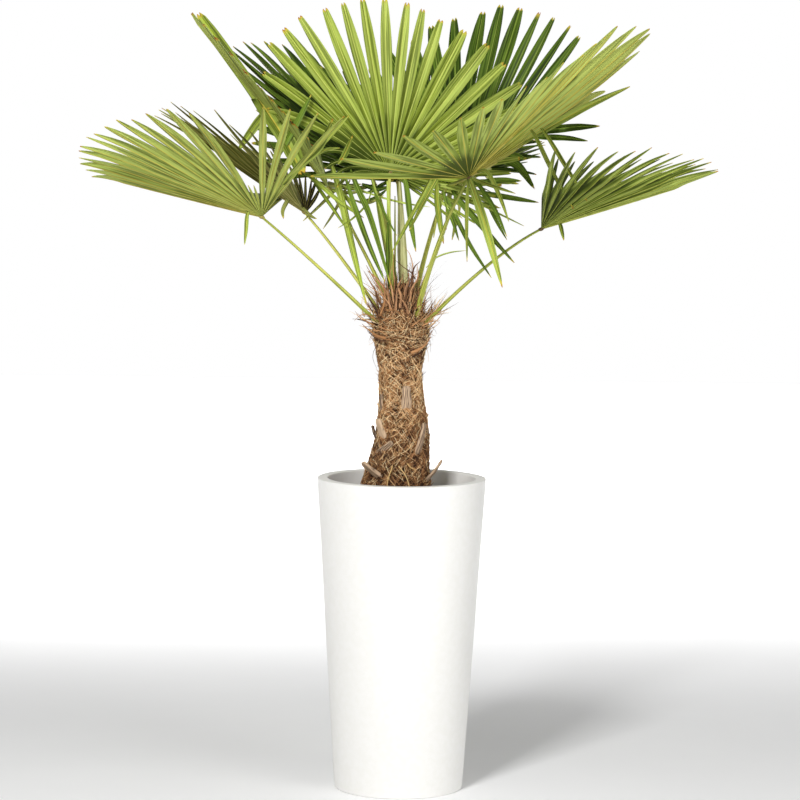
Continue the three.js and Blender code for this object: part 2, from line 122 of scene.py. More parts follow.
OWN_FACTS = dict(
    centre=dict(hub=(-36, 0, 1458), turn=(33, 67, 74), upper=-1, lift=(-0.93, 0.35, 0.25), pitch=7.2,
                first=-73.9, span=(-112, 112), broken=(-125, -84, 0.6), reach=(120, 440, 392, 386, 270, 190),
                fused=(0.42, 0.26, 0.26, 0.26, 0.3), sag=(0.3, 0.05, 0), narrow=(0.2, 0.5), shade=(0.9, 0.3),
                pleat=0.8, blunt=0.24, tone=(0.45, 0.5), dim=0.8, foot=(-24, -20, 1150), arch=0.1,
                look="bright"),
    front_right=dict(hub=(145, -200, 1454), turn=(0, 46, 42), lift=(0.41, -0.87, 0.9), pitch=8.3,
                     first=45.3, span=(-124, 112), reach=(507, 425, 466, 680, 400, 340),
                     fused=(0.2, 0.5, 0.56, 0.62, 0.5), ripe=(0, 0, 0.1, 0.2, 0.25), sag=(0, 0.3, 0),
                     narrow=(0.3, 0.5), shade=(0.55, 0), tone=(0.8, 0.5), dim=1.8, foot=(28, -30, 1120),
                     look="pale"),
    far_left=dict(hub=(-331, -100, 1355), turn=(160, 12.5, -32), lift=(-0.25, 0.53, 0.57), pitch=6.4,
                  first=5.7, span=(-76, 122), broken=(86, 98, 0.3), reach=(400, 440, 453, 460, 478, 560),
                  fused=(0.45, 0.6, 0.7, 0.6, 0.2), ripe=(0.05, 0.05, 0.05, 0.05, 0.15),
                  sag=(0.02, 0.03, 0.02), narrow=(0.5, 0.4), shade=(0.4, 0), tone=(0.65, 0.5),
                  foot=(-46, -20, 1095), arch=0.04, look="pale"),
    far_right=dict(hub=(318, -50, 1333), turn=(-3, 18.5, 3), lift=(0.2, 0.16, 0.53), pitch=6,
                   span=(-82, 80), reach=(420, 470, 442, 446, 452, 397), fused=(0.3, 0.5, 0.72, 0.5, 0.35),
                   sag=(0.02, 0.02, 0.02), shade=(0, 0.5), pleat=1.5, slim=0.5, tone=(0, 0.35), band=0.6,
                   foot=(46, -10, 1104), arch=0.2, look="mid"),
    high_left=dict(hub=(-179, 30, 1420), turn=(178, 51, 0), lift=(0.13, -0.06, 0.1), pitch=7.3,
                   span=(-70, 75), reach=(300, 440, 527, 350, 300, 300), fused=(0.8, 0.95, 0.95, 0.95, 0.8),
                   shade=(0.2, 0.4), pleat=0.35, blunt=0.7, tone=(1.2, 0.3), foot=(-28, 4, 1140), look="mid"),
    high_right=dict(hub=(123, 270, 1398), turn=(51, 66, 24), lift=(0.51, -0.43, 0.6), pitch=6.7, first=22.3,
                    span=(-40, 64), reach=(400, 476, 512, 490, 424, 400), fused=(0.35, 0.4, 0.4, 0.4, 0.35),
                    sag=(0.25, 0, 0), blunt=0.22, tone=(0.2, 0.4), foot=(22, 24, 1130)),
    left=dict(hub=(-239, 100, 1361), turn=(174, 34, -6), lift=(0.15, 0.11, 0.31), pitch=7.8,
              span=(-72, 72), reach=(350, 450, 437, 430, 400, 330), fused=(0.12, 0.5, 0.5, 0.5, 0.12),
              ripe=(0.2, 0.2, 0.15, 0.1, 0), sag=(0.05, 0.05, 0.02), narrow=(0.9, 0.9), shade=(1.1, 1.1),
              pleat=1.5, slim=0.6, tone=(0.15, 0.9), foot=(-40, 22, 1108), arch=0.1, look="olive"),
    back_left=dict(hub=(-81, 300, 1445), turn=(136, 42, -6), lift=(0.13, 0.09, 0.07), pitch=7.8,
                   first=33.6, span=(-100, 100), reach=(400, 462, 510, 470, 300, 200),
                   fused=(0.45, 0.62, 0.7, 0.62, 0.45), sag=(0.1, 0.1, 0.02), pleat=1.2, blunt=0.1, slim=0.4,
                   tone=(0.35, 0.5), foot=(-14, 35, 1130)),
    back=dict(hub=(-18, 330, 1430), turn=(98, 44, 4), lift=(0.2, 0.2, 0.2), pitch=9.2, first=3,
              span=(-100, 100), reach=(330, 400, 460, 455, 400, 330), sag=(0.06, 0.06, 0.05), pleat=1.2,
              blunt=0.12, tone=(0.25, 0.4), foot=(4, 20, 1160)),
    back_right=dict(hub=(105, 360, 1420), turn=(70, 20, 0), lift=(0.2, 0.2, 0.3), pitch=9, first=3,
                    span=(-80, 100), reach=(160, 230, 400, 385, 370, 320), sag=(0.06, 0.06, 0.05), pleat=1.2,
                    blunt=0.12, tone=(0.25, 0.4), foot=(16, 34, 1120)),
)
LEAVES = {name: {**USUAL_LEAF, **own} for name, own in OWN_FACTS.items()}
STALK_FOOT_RADIUS, STALK_END_RADIUS, STALK_TAPER_POWER, STALK_BEND_BACK = 7, 3.4, 0.6, 0.35
SPEAR = dict(foot=(1, 6, 1160), tip=(-13, 14, 1438), foot_radius=7, widest_radius=8, widest_at=0.4,
             tip_radius=2.5, swell=1.35)

# Fingers torn from their fan that hang or stray, by their look: the width in millimetres, the tone, which
# below zero paints the finger in shade, and the course as seen by the camera, in pixels of the square view,
# with the depth in millimetres. A piece wider than BROAD_PIECE is several fingers still joined.
BROAD_PIECE = 25
LOOSE_FINGERS = dict(
    bright=[
        (10, 0.0, (371, 176, -15), (377.5, 200, -30), (384, 232, -45), (389, 257, -50)),
        (6, 0.3, (470, 202, -20), (484, 206, -20), (502, 215, -50), (524, 226, -70)),
        (9, 0.9, (421, 187, -30), (433, 196, -45), (447, 206, -60), (462.5, 218.5, -70)),
        (12, 0.7, (428, 184, -30), (449, 187, -40), (472, 194, -60), (498, 207, -70)),
        (5, 0.0, (372, 190, -25), (366, 205, -30), (352, 219, -45), (338, 228, -50)),
        (9, 0.9, (387, 181, -45), (389, 215, -45), (391, 250, -40), (393, 290, -35)),
        (5, 0.9, (349, 185, 20), (377, 196, 10), (406, 203.4, 0), (430, 207, -10)),
        (5, 0.5, (338, 184, 25), (350, 188, 20), (364, 192, 15), (377, 195, 10)),
        (12, 0.3, (455, 196, 30), (466, 210, 25), (490, 236, 10), (513, 262, 0)),
        (4, 0.9, (426, 268, -48), (435.5, 258, -50), (450, 252.5, -55), (466, 250.5, -60)),
    ],
    pale=[
        (12, 0.3, (447, 160, -205), (436.6, 178, -215), (422, 205, -225), (409, 231, -225)),
        (11, 0.3, (434, 172, -190), (424, 192, -170), (407, 224, -160), (392, 252, -150)),
        (10, 0.5, (468, 178, -202), (467, 200, -210), (466.5, 222, -225), (467, 262, -230)),
        (21, 0.7, (469, 177, -202), (477, 200, -215), (489, 238, -240), (502.5, 288, -255)),
        (11, 0.5, (477, 172, -195), (487, 172, -195), (499, 195, -190), (509, 222, -190)),
        (10, 0.6, (469, 177, -202), (478, 181, -210), (495, 187, -240), (515.5, 193.5, -260)),
        (15, 0.2, (437, 181, -45), (437, 198, -60), (440, 222, -80), (443.6, 244, -90)),
        (12, 0.6, (530, 128, -115), (538, 141, -125), (555, 176, -140), (573.5, 209, -155)),
        (12, 0.6, (541, 128, -100), (550, 141, -120), (567, 169, -150), (587, 201, -185)),
        (19, 0.9, (508, 151, -60), (548, 128, 20), (590, 105, 110), (630, 86.6, 200)),
        (10, 0.5, (250, 206, -104), (247, 216, -110), (246, 230, -112), (244.5, 245, -114)),
        (42, 0.3, (258, 98, 30), (272, 118, -60), (287, 142, -112), (303, 174, -105)),
        (15, 0.3, (338, 164, -75), (343, 157, -80), (347, 149, -85), (352.5, 135.5, -88)),
        (20, 0.5, (283, 184, -223), (301, 164, -300), (320, 146, -370), (333, 118.5, -450)),
        (10, 0.6, (290, 177, -240), (311, 158, -310), (326, 150, -350), (340, 148, -380)),
        (9, 0.8, (290, 178, -240), (320, 147, -350), (335, 131, -400), (349, 115.5, -450)),
        (14, 0.5, (474, 186, -150), (487, 183, -150), (503, 181, -145), (519, 184, -140)),
        (10, 0.9, (460, 197, 40), (470, 202, 35), (485, 206, 30), (501, 208, 20)),
    ],
    mid=[
        (20, 0.9, (331, 162, 5), (340, 191, -10), (351, 240, -45), (366, 304, -70)),
        (11, 0.7, (300, 170, 10), (312, 178, 0), (340, 202, -20), (364, 218, -30)),
        (9, 0.1, (310, 172, 15), (318, 187, 10), (334, 210, 0), (348, 231, -5)),
        (10, 0.5, (556, 212, -58), (560, 224, -60), (562, 232, -62), (564, 241, -63)),
        (22, 0.9, (272, 108, 40), (264, 115, 38), (251, 132, 30), (237, 152, 20)),
        (30, 0.8, (274, 122, 42), (250, 85, 42), (222, 46, 42), (198, 13, 42)),
        (11, 0.8, (330, 189, 30), (341, 193, 20), (350, 202, 10), (356, 217, 0)),
    ],
    dark=[
        (15, 0.8, (403, 174, -15), (407, 189, -30), (411, 222, -45), (416, 252, -50)),
        (11, 0.5, (472, 178, -195), (481, 188, -200), (495, 210, -215), (507, 237, -225)),
        (14, 0.6, (470, 184, -190), (484, 182, -190), (503, 180, -180), (522, 181, -170)),
        (24, 0.5, (488, 148, 180), (499, 157, 180), (518, 166, 175), (535, 189.5, 160)),
        (10, 0.7, (443, 190, -50), (447, 206, -60), (453, 222, -70), (459, 241, -80)),
        (14, 0.5, (468, 189, 60), (483, 193, 65), (513, 198, 70), (539, 202.5, 80)),
        (15, 0.6, (452, 190, -20), (461, 202, -30), (486, 231, -60), (514.5, 263, -80)),
        (11, 0.5, (443, 193, -50), (451, 207, -60), (470, 245, -90), (491.5, 278, -105)),
        (21, 0.5, (528, 133, 192), (548, 130, 190), (574, 127, 185), (600, 126, 180)),
        (15, 0.4, (522, 136, 192), (543, 137, 188), (566, 138, 182), (588, 141, 178)),
        (5, 0.6, (505, 150, 203), (520.6, 147.5, 203), (534, 146, 200), (546, 145, 198)),
        (14, 0.7, (498, 148, 203), (508, 152, 200), (518, 156, 200), (527, 159.5, 198)),
        (10, 0.5, (473, 181, 220), (484, 181, 222), (498, 182, 225), (511, 184, 225)),
        (15, 0.8, (279, 156, -115), (288, 139, -112), (300, 117, -105), (311.5, 94, -95)),
        (11, 0.2, (388, 222, -52), (388, 245, -52), (388, 266, -50), (389, 290, -45)),
        (15, 0.8, (350, 168, -10), (358, 189, -35), (371, 219, -60), (391, 286, -62)),
        (13, 0.9, (345, 176, -20), (354, 204, -35), (369, 245, -75), (385, 282, -85)),
        (6, 0.4, (371, 186, -66), (379, 201, -66), (388, 220, -66), (397, 236, -66)),
        (13, 0.1, (362, 184, 60), (370, 187, 55), (379, 189, 50), (390, 186, 45)),
        (11, 0.3, (366, 193, 60), (374, 190, 55), (383, 184, 50), (394, 180, 45)),
        (9, 0.2, (364, 200, 60), (372, 199, 55), (380, 195, 50), (388, 188, 45)),
        (7, 0.1, (336, 190, 45), (340, 200, 40), (345, 213, 35), (353, 228, 30)),
        (9, 0.6, (480, 190, 40), (488, 204, 35), (497, 222, 30), (507, 240, 25)),
    ],
    olive=[
        (11, 0.2, (293, 189, 85), (289, 198, 80), (283, 210, 76), (283.5, 219, 72)),
        (9, 0.2, (348, 176, 95), (335, 190, 90), (318, 207, 85), (303, 221, 80)),
        (8, 0.2, (350, 180, 65), (342, 196, 60), (334, 212, 55), (323, 229, 50)),
        (8, 0.0, (300, 205, 80), (304, 209, 76), (311, 216, 74), (317, 219, 72)),
        (5, 0.1, (395, 196, -25), (395, 230, -25), (395, 262, -25), (395, 290, -20)),
        (9, 0.3, (375, 187, -20), (379, 212, -30), (384, 240, -40), (389, 272, -45)),
        (12, 0.2, (312, 181, 90), (330, 185, 80), (345, 186, 75), (362, 184, 70)),
        (10, 0.6, (318, 186, 85), (334, 190, 75), (350, 193, 70), (364, 190, 65)),
        (12, -0.3, (328, 182, 95), (343, 187, 90), (360, 188, 85), (378, 184, 80)),
        (8, 0.5, (354, 200, 60), (364, 203, 55), (374, 201, 50), (384, 195, 45)),
        (12, 0.3, (447, 190, 60), (452, 205, 55), (455, 222, 50), (452, 240, 45)),
        (10, -0.7, (305, 211, 97), (300, 202, 92), (295, 192, 86), (288, 180, 80)),
        (8, -0.6, (305, 211, 97), (301, 199, 90), (297, 188, 82), (292.5, 175, 75)),
        (8, -0.8, (305, 211, 97), (303, 199, 88), (301, 187, 78), (298.6, 173, 70)),
        (7, -0.7, (305.5, 211, 97), (305.5, 199, 86), (305.5, 187, 75), (305.5, 172, 65)),
        (8, -0.8, (306, 211, 97), (308, 202, 86), (310, 192, 76), (311.6, 178, 66)),
        (9, -0.7, (306, 211, 97), (309, 201, 88), (313, 190, 80), (317, 177, 72)),
        (10, -0.8, (306, 211.5, 97), (311, 204, 92), (316, 196, 86), (320, 188, 80)),
    ],
)

# Dry strips between the stalks' feet: width in millimetres, kind (red-brown, straw, dark), course as above
DRY_CURLS = [
    (6, 0, (384, 312, -48), (376, 292, -44), (369, 280, -46), (363.7, 271, -50)),
    (11, 0, (391, 310, -46), (388, 295, -42), (378, 280, -48), (368, 271, -56)),
    (7, 0, (387, 306, -50), (382, 293, -50), (373, 277, -54), (366, 265, -58)),
    (5, 0, (391, 308, -50), (388.5, 293, -52), (387, 285, -54), (387, 277, -52)),
    (6, 0, (394, 304, -50), (392, 290, -52), (389.5, 277, -52), (392, 266, -48)),
    (4, 2, (415, 279, -44), (411.5, 273, -48), (402, 266, -54), (393, 258, -56)),
    (4, 0, (411, 290, -40), (413, 271, -44), (410.5, 256, -46), (404, 246, -40)),
    (8, 0, (410, 300, -44), (411.5, 282, -44), (414, 268, -46), (420, 261.5, -52)),
    (7, 0, (410, 302, -46), (412, 289, -48), (418, 277, -52), (417, 264, -56)),
    (9, 0, (405, 300, -44), (406, 289, -46), (409, 280, -48), (408, 269, -50)),
    (5, 1, (414, 310, -48), (418, 301, -50), (421.5, 292, -54), (424, 280, -60)),
    (4, 2, (416, 311, -50), (419, 307, -52), (424, 302, -56), (431.5, 296, -64)),
    (5, 0, (396, 304, -52), (397, 291, -54), (401, 281, -54), (404, 272, -54)),
    (9, 2, (380, 318, -50), (376, 309, -50), (370, 300, -52), (365, 291, -54)),
    (4, 1, (394, 292, -40), (394.5, 280, -42), (393, 265, -46), (395, 248, -46)),
    (6, 1, (380, 316, -52), (385, 300, -54), (384, 286, -56), (388, 270, -60)),
    (8, 0, (400, 308, -50), (401, 296, -52), (398, 286, -54), (403, 277, -56)),
    (6, 2, (386, 312, -50), (378, 300, -54), (375, 289, -54), (372, 284, -54)),
    (9, 1, (411, 353, -64), (418, 350, -62), (425, 345, -56), (431, 337, -46)),
    (6, 2, (412, 357, -61), (418, 354, -58), (424, 350, -52), (428, 344, -44)),
    (8, 1, (386, 338, -66), (378, 336, -62), (370, 331, -54), (362, 324, -44)),
    (5, 2, (386, 341, -63), (379, 340, -58), (373, 336, -50), (367, 330, -42)),
    (3.4, 1, (384, 310, -50), (397, 311, -58), (405, 322, -62), (406, 332, -66)),
    (3.2, 1, (382, 321, -58), (390, 318, -62), (398, 320, -65), (405, 328, -66)),
    (3, 1, (401, 297, -44), (405, 303, -48), (408, 309, -52), (410, 316, -56)),
    (4, 1, (411, 327, -64), (416, 323, -60), (422, 318, -52), (428, 311, -44)),
    (3.4, 1, (374, 336, -58), (383, 339, -64), (392, 339, -68), (401, 335, -69)),
    (3, 1, (372, 330, -54), (380, 331, -62), (387, 336, -66), (392, 343, -68)),
    (3.2, 1, (378, 326, -54), (388, 330, -64), (400, 330, -68), (412, 324, -60)),
    (3, 1, (379, 312, -46), (386, 320, -56), (396, 325, -64), (408, 320, -60)),
    (4, 1, (376, 320, -50), (368, 315, -48), (361, 315, -46), (354, 321, -44)),
    (4, 1, (374, 325, -50), (366, 321, -48), (360, 318, -46), (355, 311, -44)),
    (4, 1, (422, 326, -50), (430, 322, -48), (435, 320, -46), (440, 323, -44)),
    (4, 1, (420, 322, -50), (428, 317, -48), (434, 312, -46), (441, 311, -44)),
]

# Rootlets at the foot of the trunk, through these points
ROOTLETS = [
    [(-22, -84, 776), (-33, -86, 740), (-34, -88, 700), (-38, -92, 684)],
    [(-8, -80, 776), (10, -84, 752), (18, -88, 722), (10, -92, 686)],
    [(12, -78, 782), (22, -80, 772), (32, -82, 768)],
    [(-30, -92, 690), (-12, -90, 722), (2, -90, 727), (38, -86, 727)],
]
ROOTLET_RADIUS = 1.445


# Colours and materials

def linear(hex_colour):
    """An sRGB hex colour as linear RGBA: a channel is c/12.92 below 0.04045, else ((c+0.055)/1.055)^2.4."""
    channels = [int(hex_colour[i:i + 2], 16) / 255 for i in (1, 3, 5)]
    return (*[c / 12.92 if c <= 0.04045 else ((c + 0.055) / 1.055) ** 2.4 for c in channels], 1.0)


def set_inputs(node, inputs):
    """Gives each named or numbered input of a node a link, a hex colour or a plain value."""
    for key, value in inputs.items():
        if isinstance(value, bpy.types.NodeSocket):
            node.id_data.links.new(value, node.inputs[key])
        else:
            node.inputs[key].default_value = linear(value) if isinstance(value, str) else value


def add_node(owner, kind, inputs=None, output=0, **settings):
    """Adds a node with its settings and inputs to a material or a world, and gives one of its outputs."""
    node = owner.node_tree.nodes.new("ShaderNode" + kind)
    for name, value in settings.items():
        setattr(node, name, value)
    set_inputs(node, inputs or {})
    return node.outputs[output]


def new_material(name, roughness):
    """A material and its Principled shader, with the IOR of wax, wood and plastics."""
    material = bpy.data.materials.new(name)
    material.use_nodes = True
    shader = material.node_tree.nodes["Principled BSDF"]
    set_inputs(shader, {"Roughness": roughness, "IOR": 1.45})
    return material, shader


def layered(material, base, *layers):
    """The base colour with others laid over it. A layer is a value, the two ends between which it goes
    smoothly from none to its share, that share, and the colour."""
    colour = base
    for value, low, high, share, over in layers:
        ends = {"Value": value, "From Min": low, "From Max": high, "To Max": share}
        cover = add_node(material, "MapRange", ends, interpolation_type="SMOOTHSTEP")
        colour = add_node(material, "Mix", {0: cover, 6: colour, 7: over}, 2, data_type="RGBA")
    return colour


def leaf_finish(name, base, light, deep_and_shade, rib, roughness):
    """Palm leaf tissue, waxy and satin: a tone for each finger, light and dark veins along it, painted shade
    in the crease between fused fingers and on one flank of each pleat, painted shade on fingers whose tint
    falls below zero, a pale line along each fold, and tips that dry to yellow and then to brown.

    The Finger map holds the distance across and along the finger in metres. The fold mark runs from 1 on
    the fold to minus its weight on the edges, and its negative part is painted shade. Real veins lie about
    1.5 mm apart, drawn 4 mm apart to show.
    """
    material, shader = new_material(name, roughness)
    place = add_node(material, "UVMap", uv_map="Finger")
    tint, fold, dry, vary = [add_node(material, "Attribute", output="Fac", attribute_name=mark)
                             for mark in ("tint", "fold", "dry", "vary")]
    stretched = add_node(material, "Mapping", {"Vector": place, "Scale": (1 / (4 * MM), 1 / (200 * MM), 1)})
    veins_at = add_node(material, "VectorMath", {0: vary, 1: (0, 0, 40), 2: stretched},
                        operation="MULTIPLY_ADD")
    veins = add_node(material, "TexNoise", {"Vector": veins_at, "Scale": 1.0, "Detail": 2.0})
    colour = layered(
        material, base,
        (tint, 0.0, 1.0, 1, light),
        (veins, 0.5, 0.4, 0.55, light),
        (veins, 0.5, 0.61, 0.6, deep_and_shade),
        # painted shade on fingers whose tint falls below zero: the shaded outer fingers and the darker hub
        (tint, 0.1, -0.9, 1, deep_and_shade),
        # painted shade in the crease between fused fingers and on one flank of each pleat
        (fold, 0.2, -0.8, 0.9, deep_and_shade),
        (fold, 0.68, 1.0, 0.9, rib),
        (dry, 0.0, 0.6, 1, "#c2b244"),
        (dry, 0.55, 0.95, 1, "#ac6a26"))
    bump = add_node(material, "Bump", {"Strength": 0.25, "Distance": 0.6 * MM, "Height": veins})
    set_inputs(shader, {"Base Color": colour, "Normal": bump, "Specular IOR Level": 0.12})
    return material


def speckled_finish(name, base, second, spot_mm, roughness, bump_mm, stretch=(1, 1, 1)):
    """Two colours mixed by noise on Object coordinates, spots spot_mm apart, with a bump of that noise."""
    material, shader = new_material(name, roughness)
    place = add_node(material, "TexCoord", output="Object")
    place = add_node(material, "Mapping", {"Vector": place, "Scale": stretch})
    noise = add_node(material, "TexNoise", {"Vector": place, "Scale": 1 / (spot_mm * MM), "Detail": 4.0})
    bump = add_node(material, "Bump", {"Strength": 0.6, "Distance": bump_mm * MM, "Height": noise})
    colour = layered(material, base, (noise, 0.35, 0.65, 1, second))
    set_inputs(shader, {"Base Color": colour, "Normal": bump})
    return material


def grain_finish(name, base, second, grain_mm, roughness, stretch=14):
    """Grain along a strip whose Finger map holds metres across and along, grain_mm wide and stretch times as
    long, in two colours that each strip's tint shifts."""
    material, shader = new_material(name, roughness)
    place = add_node(material, "UVMap", uv_map="Finger")
    tint = add_node(material, "Attribute", output="Fac", attribute_name="tint")
    scale = (1 / (grain_mm * MM), 1 / (stretch * grain_mm * MM), 1)
    stretched = add_node(material, "Mapping", {"Vector": place, "Scale": scale})
    noise = add_node(material, "TexNoise", {"Vector": stretched, "Scale": 1.0, "Detail": 3.0})
    streaks = add_node(material, "Math", {0: noise, 1: 3.0, 2: -1.0}, operation="MULTIPLY_ADD")
    both = add_node(material, "Math", {0: streaks, 1: tint}, operation="ADD")
    bump = add_node(material, "Bump", {"Strength": 0.5, "Distance": 0.8 * MM, "Height": noise})
    colour = layered(material, base, (both, 0.55, 1.45, 1, second))
    set_inputs(shader, {"Base Color": colour, "Normal": bump})
    return material


# Looks of the leaves, young to old and shaded: upper and under side, each with its tissue, light tone, deep
# tone (for dark veins and for painted shade) and fold line, then the two colours of the ribs and their
# roughness. The under side is duller and yellower, and the ribs are pale and hard.
LEAF_COLOURS = dict(
    bright=(("#8a9a34", "#bccc66", "#404e14", "#c8d06c"), ("#84943a", "#b2c068", "#3e4a18", "#c0bc58"),
            ("#a8b250", "#ced77c"), 0.5),
    pale=(("#788a2e", "#aebe5a", "#2c380c", "#cfbe4e"), ("#8a9a3e", "#bccb6a", "#48541c", "#ccb84e"),
          ("#b8aa3e", "#d6ca62"), 0.55),
    mid=(("#5e721c", "#acbd52", "#182404", "#b4c244"), ("#6c7c28", "#b2c066", "#26300a", "#b4b64a"),
         ("#97a23c", "#c0c45c"), 0.55),
    dark=(("#3a5210", "#728c30", "#121c04", "#8a9e44"), ("#44561a", "#7c8c36", "#1a240a", "#909040"),
          ("#6c7e2c", "#98a04a"), 0.55),
    olive=(("#6e7634", "#b0b466", "#2a2412", "#b8b05c"), ("#727636", "#acb068", "#302816", "#b8aa5a"),
           ("#8e8a42", "#b8aa62"), 0.55),
)
LOOKS = {
    look: dict(upper=leaf_finish(f"{look}_leaf_upper", *upper, 0.5),
               under=leaf_finish(f"{look}_leaf_under", *under, 0.6),
               rib=grain_finish(f"{look}_leaf_rib", *rib, 2, rib_roughness))
    for look, (upper, under, rib, rib_roughness) in LEAF_COLOURS.items()
}
# Living stalk: a waxed rind over long fibres, smooth and satin with faint lengthwise streaks
STALK = grain_finish("leaf_stalk", "#7c8a20", "#c6c65e", 1.6, 0.45, 90)
# Dried knot between stalk and fan: corky, brown where it is dead and greenish where it is not
COLLAR = grain_finish("hub_collar", "#64502c", "#9c8f48", 2, 0.7)
# Leaf still folded: young tissue, pale and yellowish, in long soft lines
YOUNG = grain_finish("folded_leaf", "#8c8c4c", "#cdcd92", 3, 0.55, 60)
# Coir: matt woody fibre, from bleached straw over brown to old dark strands
FIBRE = [
    grain_finish("fibre_light", "#d8aa74", "#fbe2b2", 1, 0.8),
    grain_finish("fibre_mid", "#96683e", "#b8875a", 1, 0.85),
    grain_finish("fibre_dark", "#341d0a", "#5c3c22", 1, 0.9),
]
# Dry leaf sheath: papery, red-brown with tan streaks along it
DRY_SHEATH = grain_finish("dry_sheath", "#48260f", "#c8966a", 1.6, 0.75, 30)
# Old leaf base: weathered wood, grey-tan grain with dark gaps, and its sawn end, light and speckled
BASE_WOOD = grain_finish("leaf_base", "#3a2418", "#c8ab8c", 2, 0.8)
BASE_CUT = speckled_finish("leaf_base_cut", "#d2bea2", "#94795a", 3, 0.85, 0.5)
# Matted old fibre under the coir: rough, and dark both for its own colour and as painted shade, so that the
# gaps above it look deep
CORE_AND_SHADE = speckled_finish("trunk_core", "#2e1b0d", "#624329", 5, 0.95, 1.5, (1, 1, 0.5))
# Rootlet: a tan skin, smoother than the fibre round it
ROOTLET = grain_finish("rootlet", "#d0a869", "#e2c48c", 2, 0.7)
# Moulded planter: white plastic with a soft sheen and a very faint mottle
WHITE_PLASTIC = speckled_finish("white_planter", "#eae9e6", "#e8e7e3", 14, 0.42, 0.03)
# Moist potting mix: dark crumbs, and chips of bark that lie lighter on it
SOIL = speckled_finish("potting_soil", "#2e2118", "#4c3828", 9, 0.95, 2)
BARK = speckled_finish("bark_chips", "#5b4230", "#7a5c42", 7, 0.9, 0.8)


# Shapes

def seeded(*key):
    """Random numbers for one use, the same each run."""
    return np.random.default_rng([SEED, *key])


def unit(v):
    """Vectors brought to length one."""
    return v / np.maximum(np.linalg.norm(v, axis=-1, keepdims=True), 1e-12)


def smoothstep(x, low, high):
    """3 t^2 - 2 t^3, with t going from 0 at low to 1 at high."""
    t = np.clip((x - low) / (high - low), 0, 1)
    return t * t * (3 - 2 * t)


def add_object(name, data):
    """A new object with its data, in the scene."""
    thing = bpy.data.objects.new(name, data)
    bpy.context.scene.collection.objects.link(thing)
    return thing


def make_piece(name, slot, points, faces, kinds, materials, finger=None, sharp=None, **marks):
    """A mesh of quads and triangles from arrays. points (n,3) in millimetres; faces (m,4), where a triangle
    repeats its last corner; kinds (m) picks each face's material; finger holds the Finger map's two numbers,
    across and along; edges bent by more than sharp degrees are hard; marks are numbers for each point."""
    corners = np.where(faces[:, 3] == faces[:, 2], 3, 4)
    loops = faces[np.arange(4)[None, :] < corners[:, None]]
    mesh = bpy.data.meshes.new(name)
    mesh.vertices.add(len(points))
    mesh.vertices.foreach_set("co", (points * MM).astype(np.float32).ravel())
    mesh.loops.add(len(loops))
    mesh.loops.foreach_set("vertex_index", loops.astype(np.int32))
    mesh.polygons.add(len(faces))
    mesh.polygons.foreach_set("loop_start", np.concatenate([[0], np.cumsum(corners)[:-1]]).astype(np.int32))
    mesh.polygons.foreach_set("material_index", np.full(len(faces), kinds, np.int32))
    mesh.polygons.foreach_set("use_smooth", np.ones(len(faces), bool))
    if finger is not None:
        place = np.stack([part.ravel() for part in np.broadcast_arrays(*finger)], -1)
        layer = mesh.uv_layers.new(name="Finger")
        layer.uv.foreach_set("vector", (place[loops] * MM).astype(np.float32).ravel())
    for mark, values in marks.items():
        mesh.attributes.new(mark, "FLOAT", "POINT").data.foreach_set("value", values.astype(np.float32))
    for material in materials:
        mesh.materials.append(material)
    mesh.update(calc_edges=True)
    if sharp:
        mesh.set_sharp_from_angle(angle=math.radians(sharp))
    piece = add_object(name, mesh)
    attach(piece, "root")
    return piece


def strips(rings, kind_of_side, end_kind):
    """Closed strips: rings (n, s, r, 3) are n strips of s rings of r points. Side faces join each ring to the
    next, and each end is closed by quads between its points r and their opposite ones."""
    n, s, r = rings.shape[:3]
    base = (np.arange(n) * s * r)[:, None, None] + (np.arange(s - 1) * r)[None, :, None]
    here = np.arange(r)[None, None, :]
    there = (here + 1) % r
    side = np.stack([base + here, base + there, base + there + r, base + here + r], -1)
    kinds = np.broadcast_to(kind_of_side, (n, s - 1, r))
    first = (np.arange(n) * s * r)[:, None]
    last = first + (s - 1) * r
    if r == 3:
        ends = [first + [0, 2, 1, 1], last + [0, 1, 2, 2]]
    else:
        i = np.arange(r // 2 - 1)[None, :]
        quad = [i, r - 1 - i, r - 2 - i, i + 1]
        ends = [np.stack([first + q for q in quad], -1).reshape(-1, 4),
                np.stack([last + q for q in quad[::-1]], -1).reshape(-1, 4)]
        ends = [np.where((e[:, 1] == e[:, 2])[:, None], e[:, [0, 1, 3, 3]], e) for e in ends]
    faces = np.concatenate([side.reshape(-1, 4), *ends])
    kinds = np.concatenate([kinds.ravel(), np.full(sum(len(e) for e in ends), end_kind)])
    return rings.reshape(-1, 3), faces, kinds


def turned(first, second, angle):
    """Two directions or coordinates turned into each other: c first + s second, and c second - s first."""
    c, s = np.cos(angle), np.sin(angle)
    return c * first + s * second, c * second - s * first


def bezier(points, t):
    """A curve through stacked control points (n, k, 3) for t (s), by de Casteljau's rule."""
    level = [points[:, None, i] for i in range(points.shape[1])]
    t = t[None, :, None]
    while len(level) > 1:
        level = [(1 - t) * a + t * b for a, b in zip(level, level[1:])]
    return level[0]


def through(points, count):
    """A smooth curve through points (k,3): a Catmull-Rom spline, count samples."""
    p = np.asarray(points, float)
    p = np.concatenate([[2 * p[0] - p[1]], p, [2 * p[-1] - p[-2]]])
    t = np.linspace(0, len(p) - 3, count)
    i = np.minimum(t.astype(int), len(p) - 4)
    f = (t - i)[:, None]
    a, b, c, d = p[i], p[i + 1], p[i + 2], p[i + 3]
    bend, twist = 2 * a - 5 * b + 4 * c - d, 3 * b - a - 3 * c + d
    return 0.5 * (2 * b + (c - a) * f + bend * f ** 2 + twist * f ** 3)


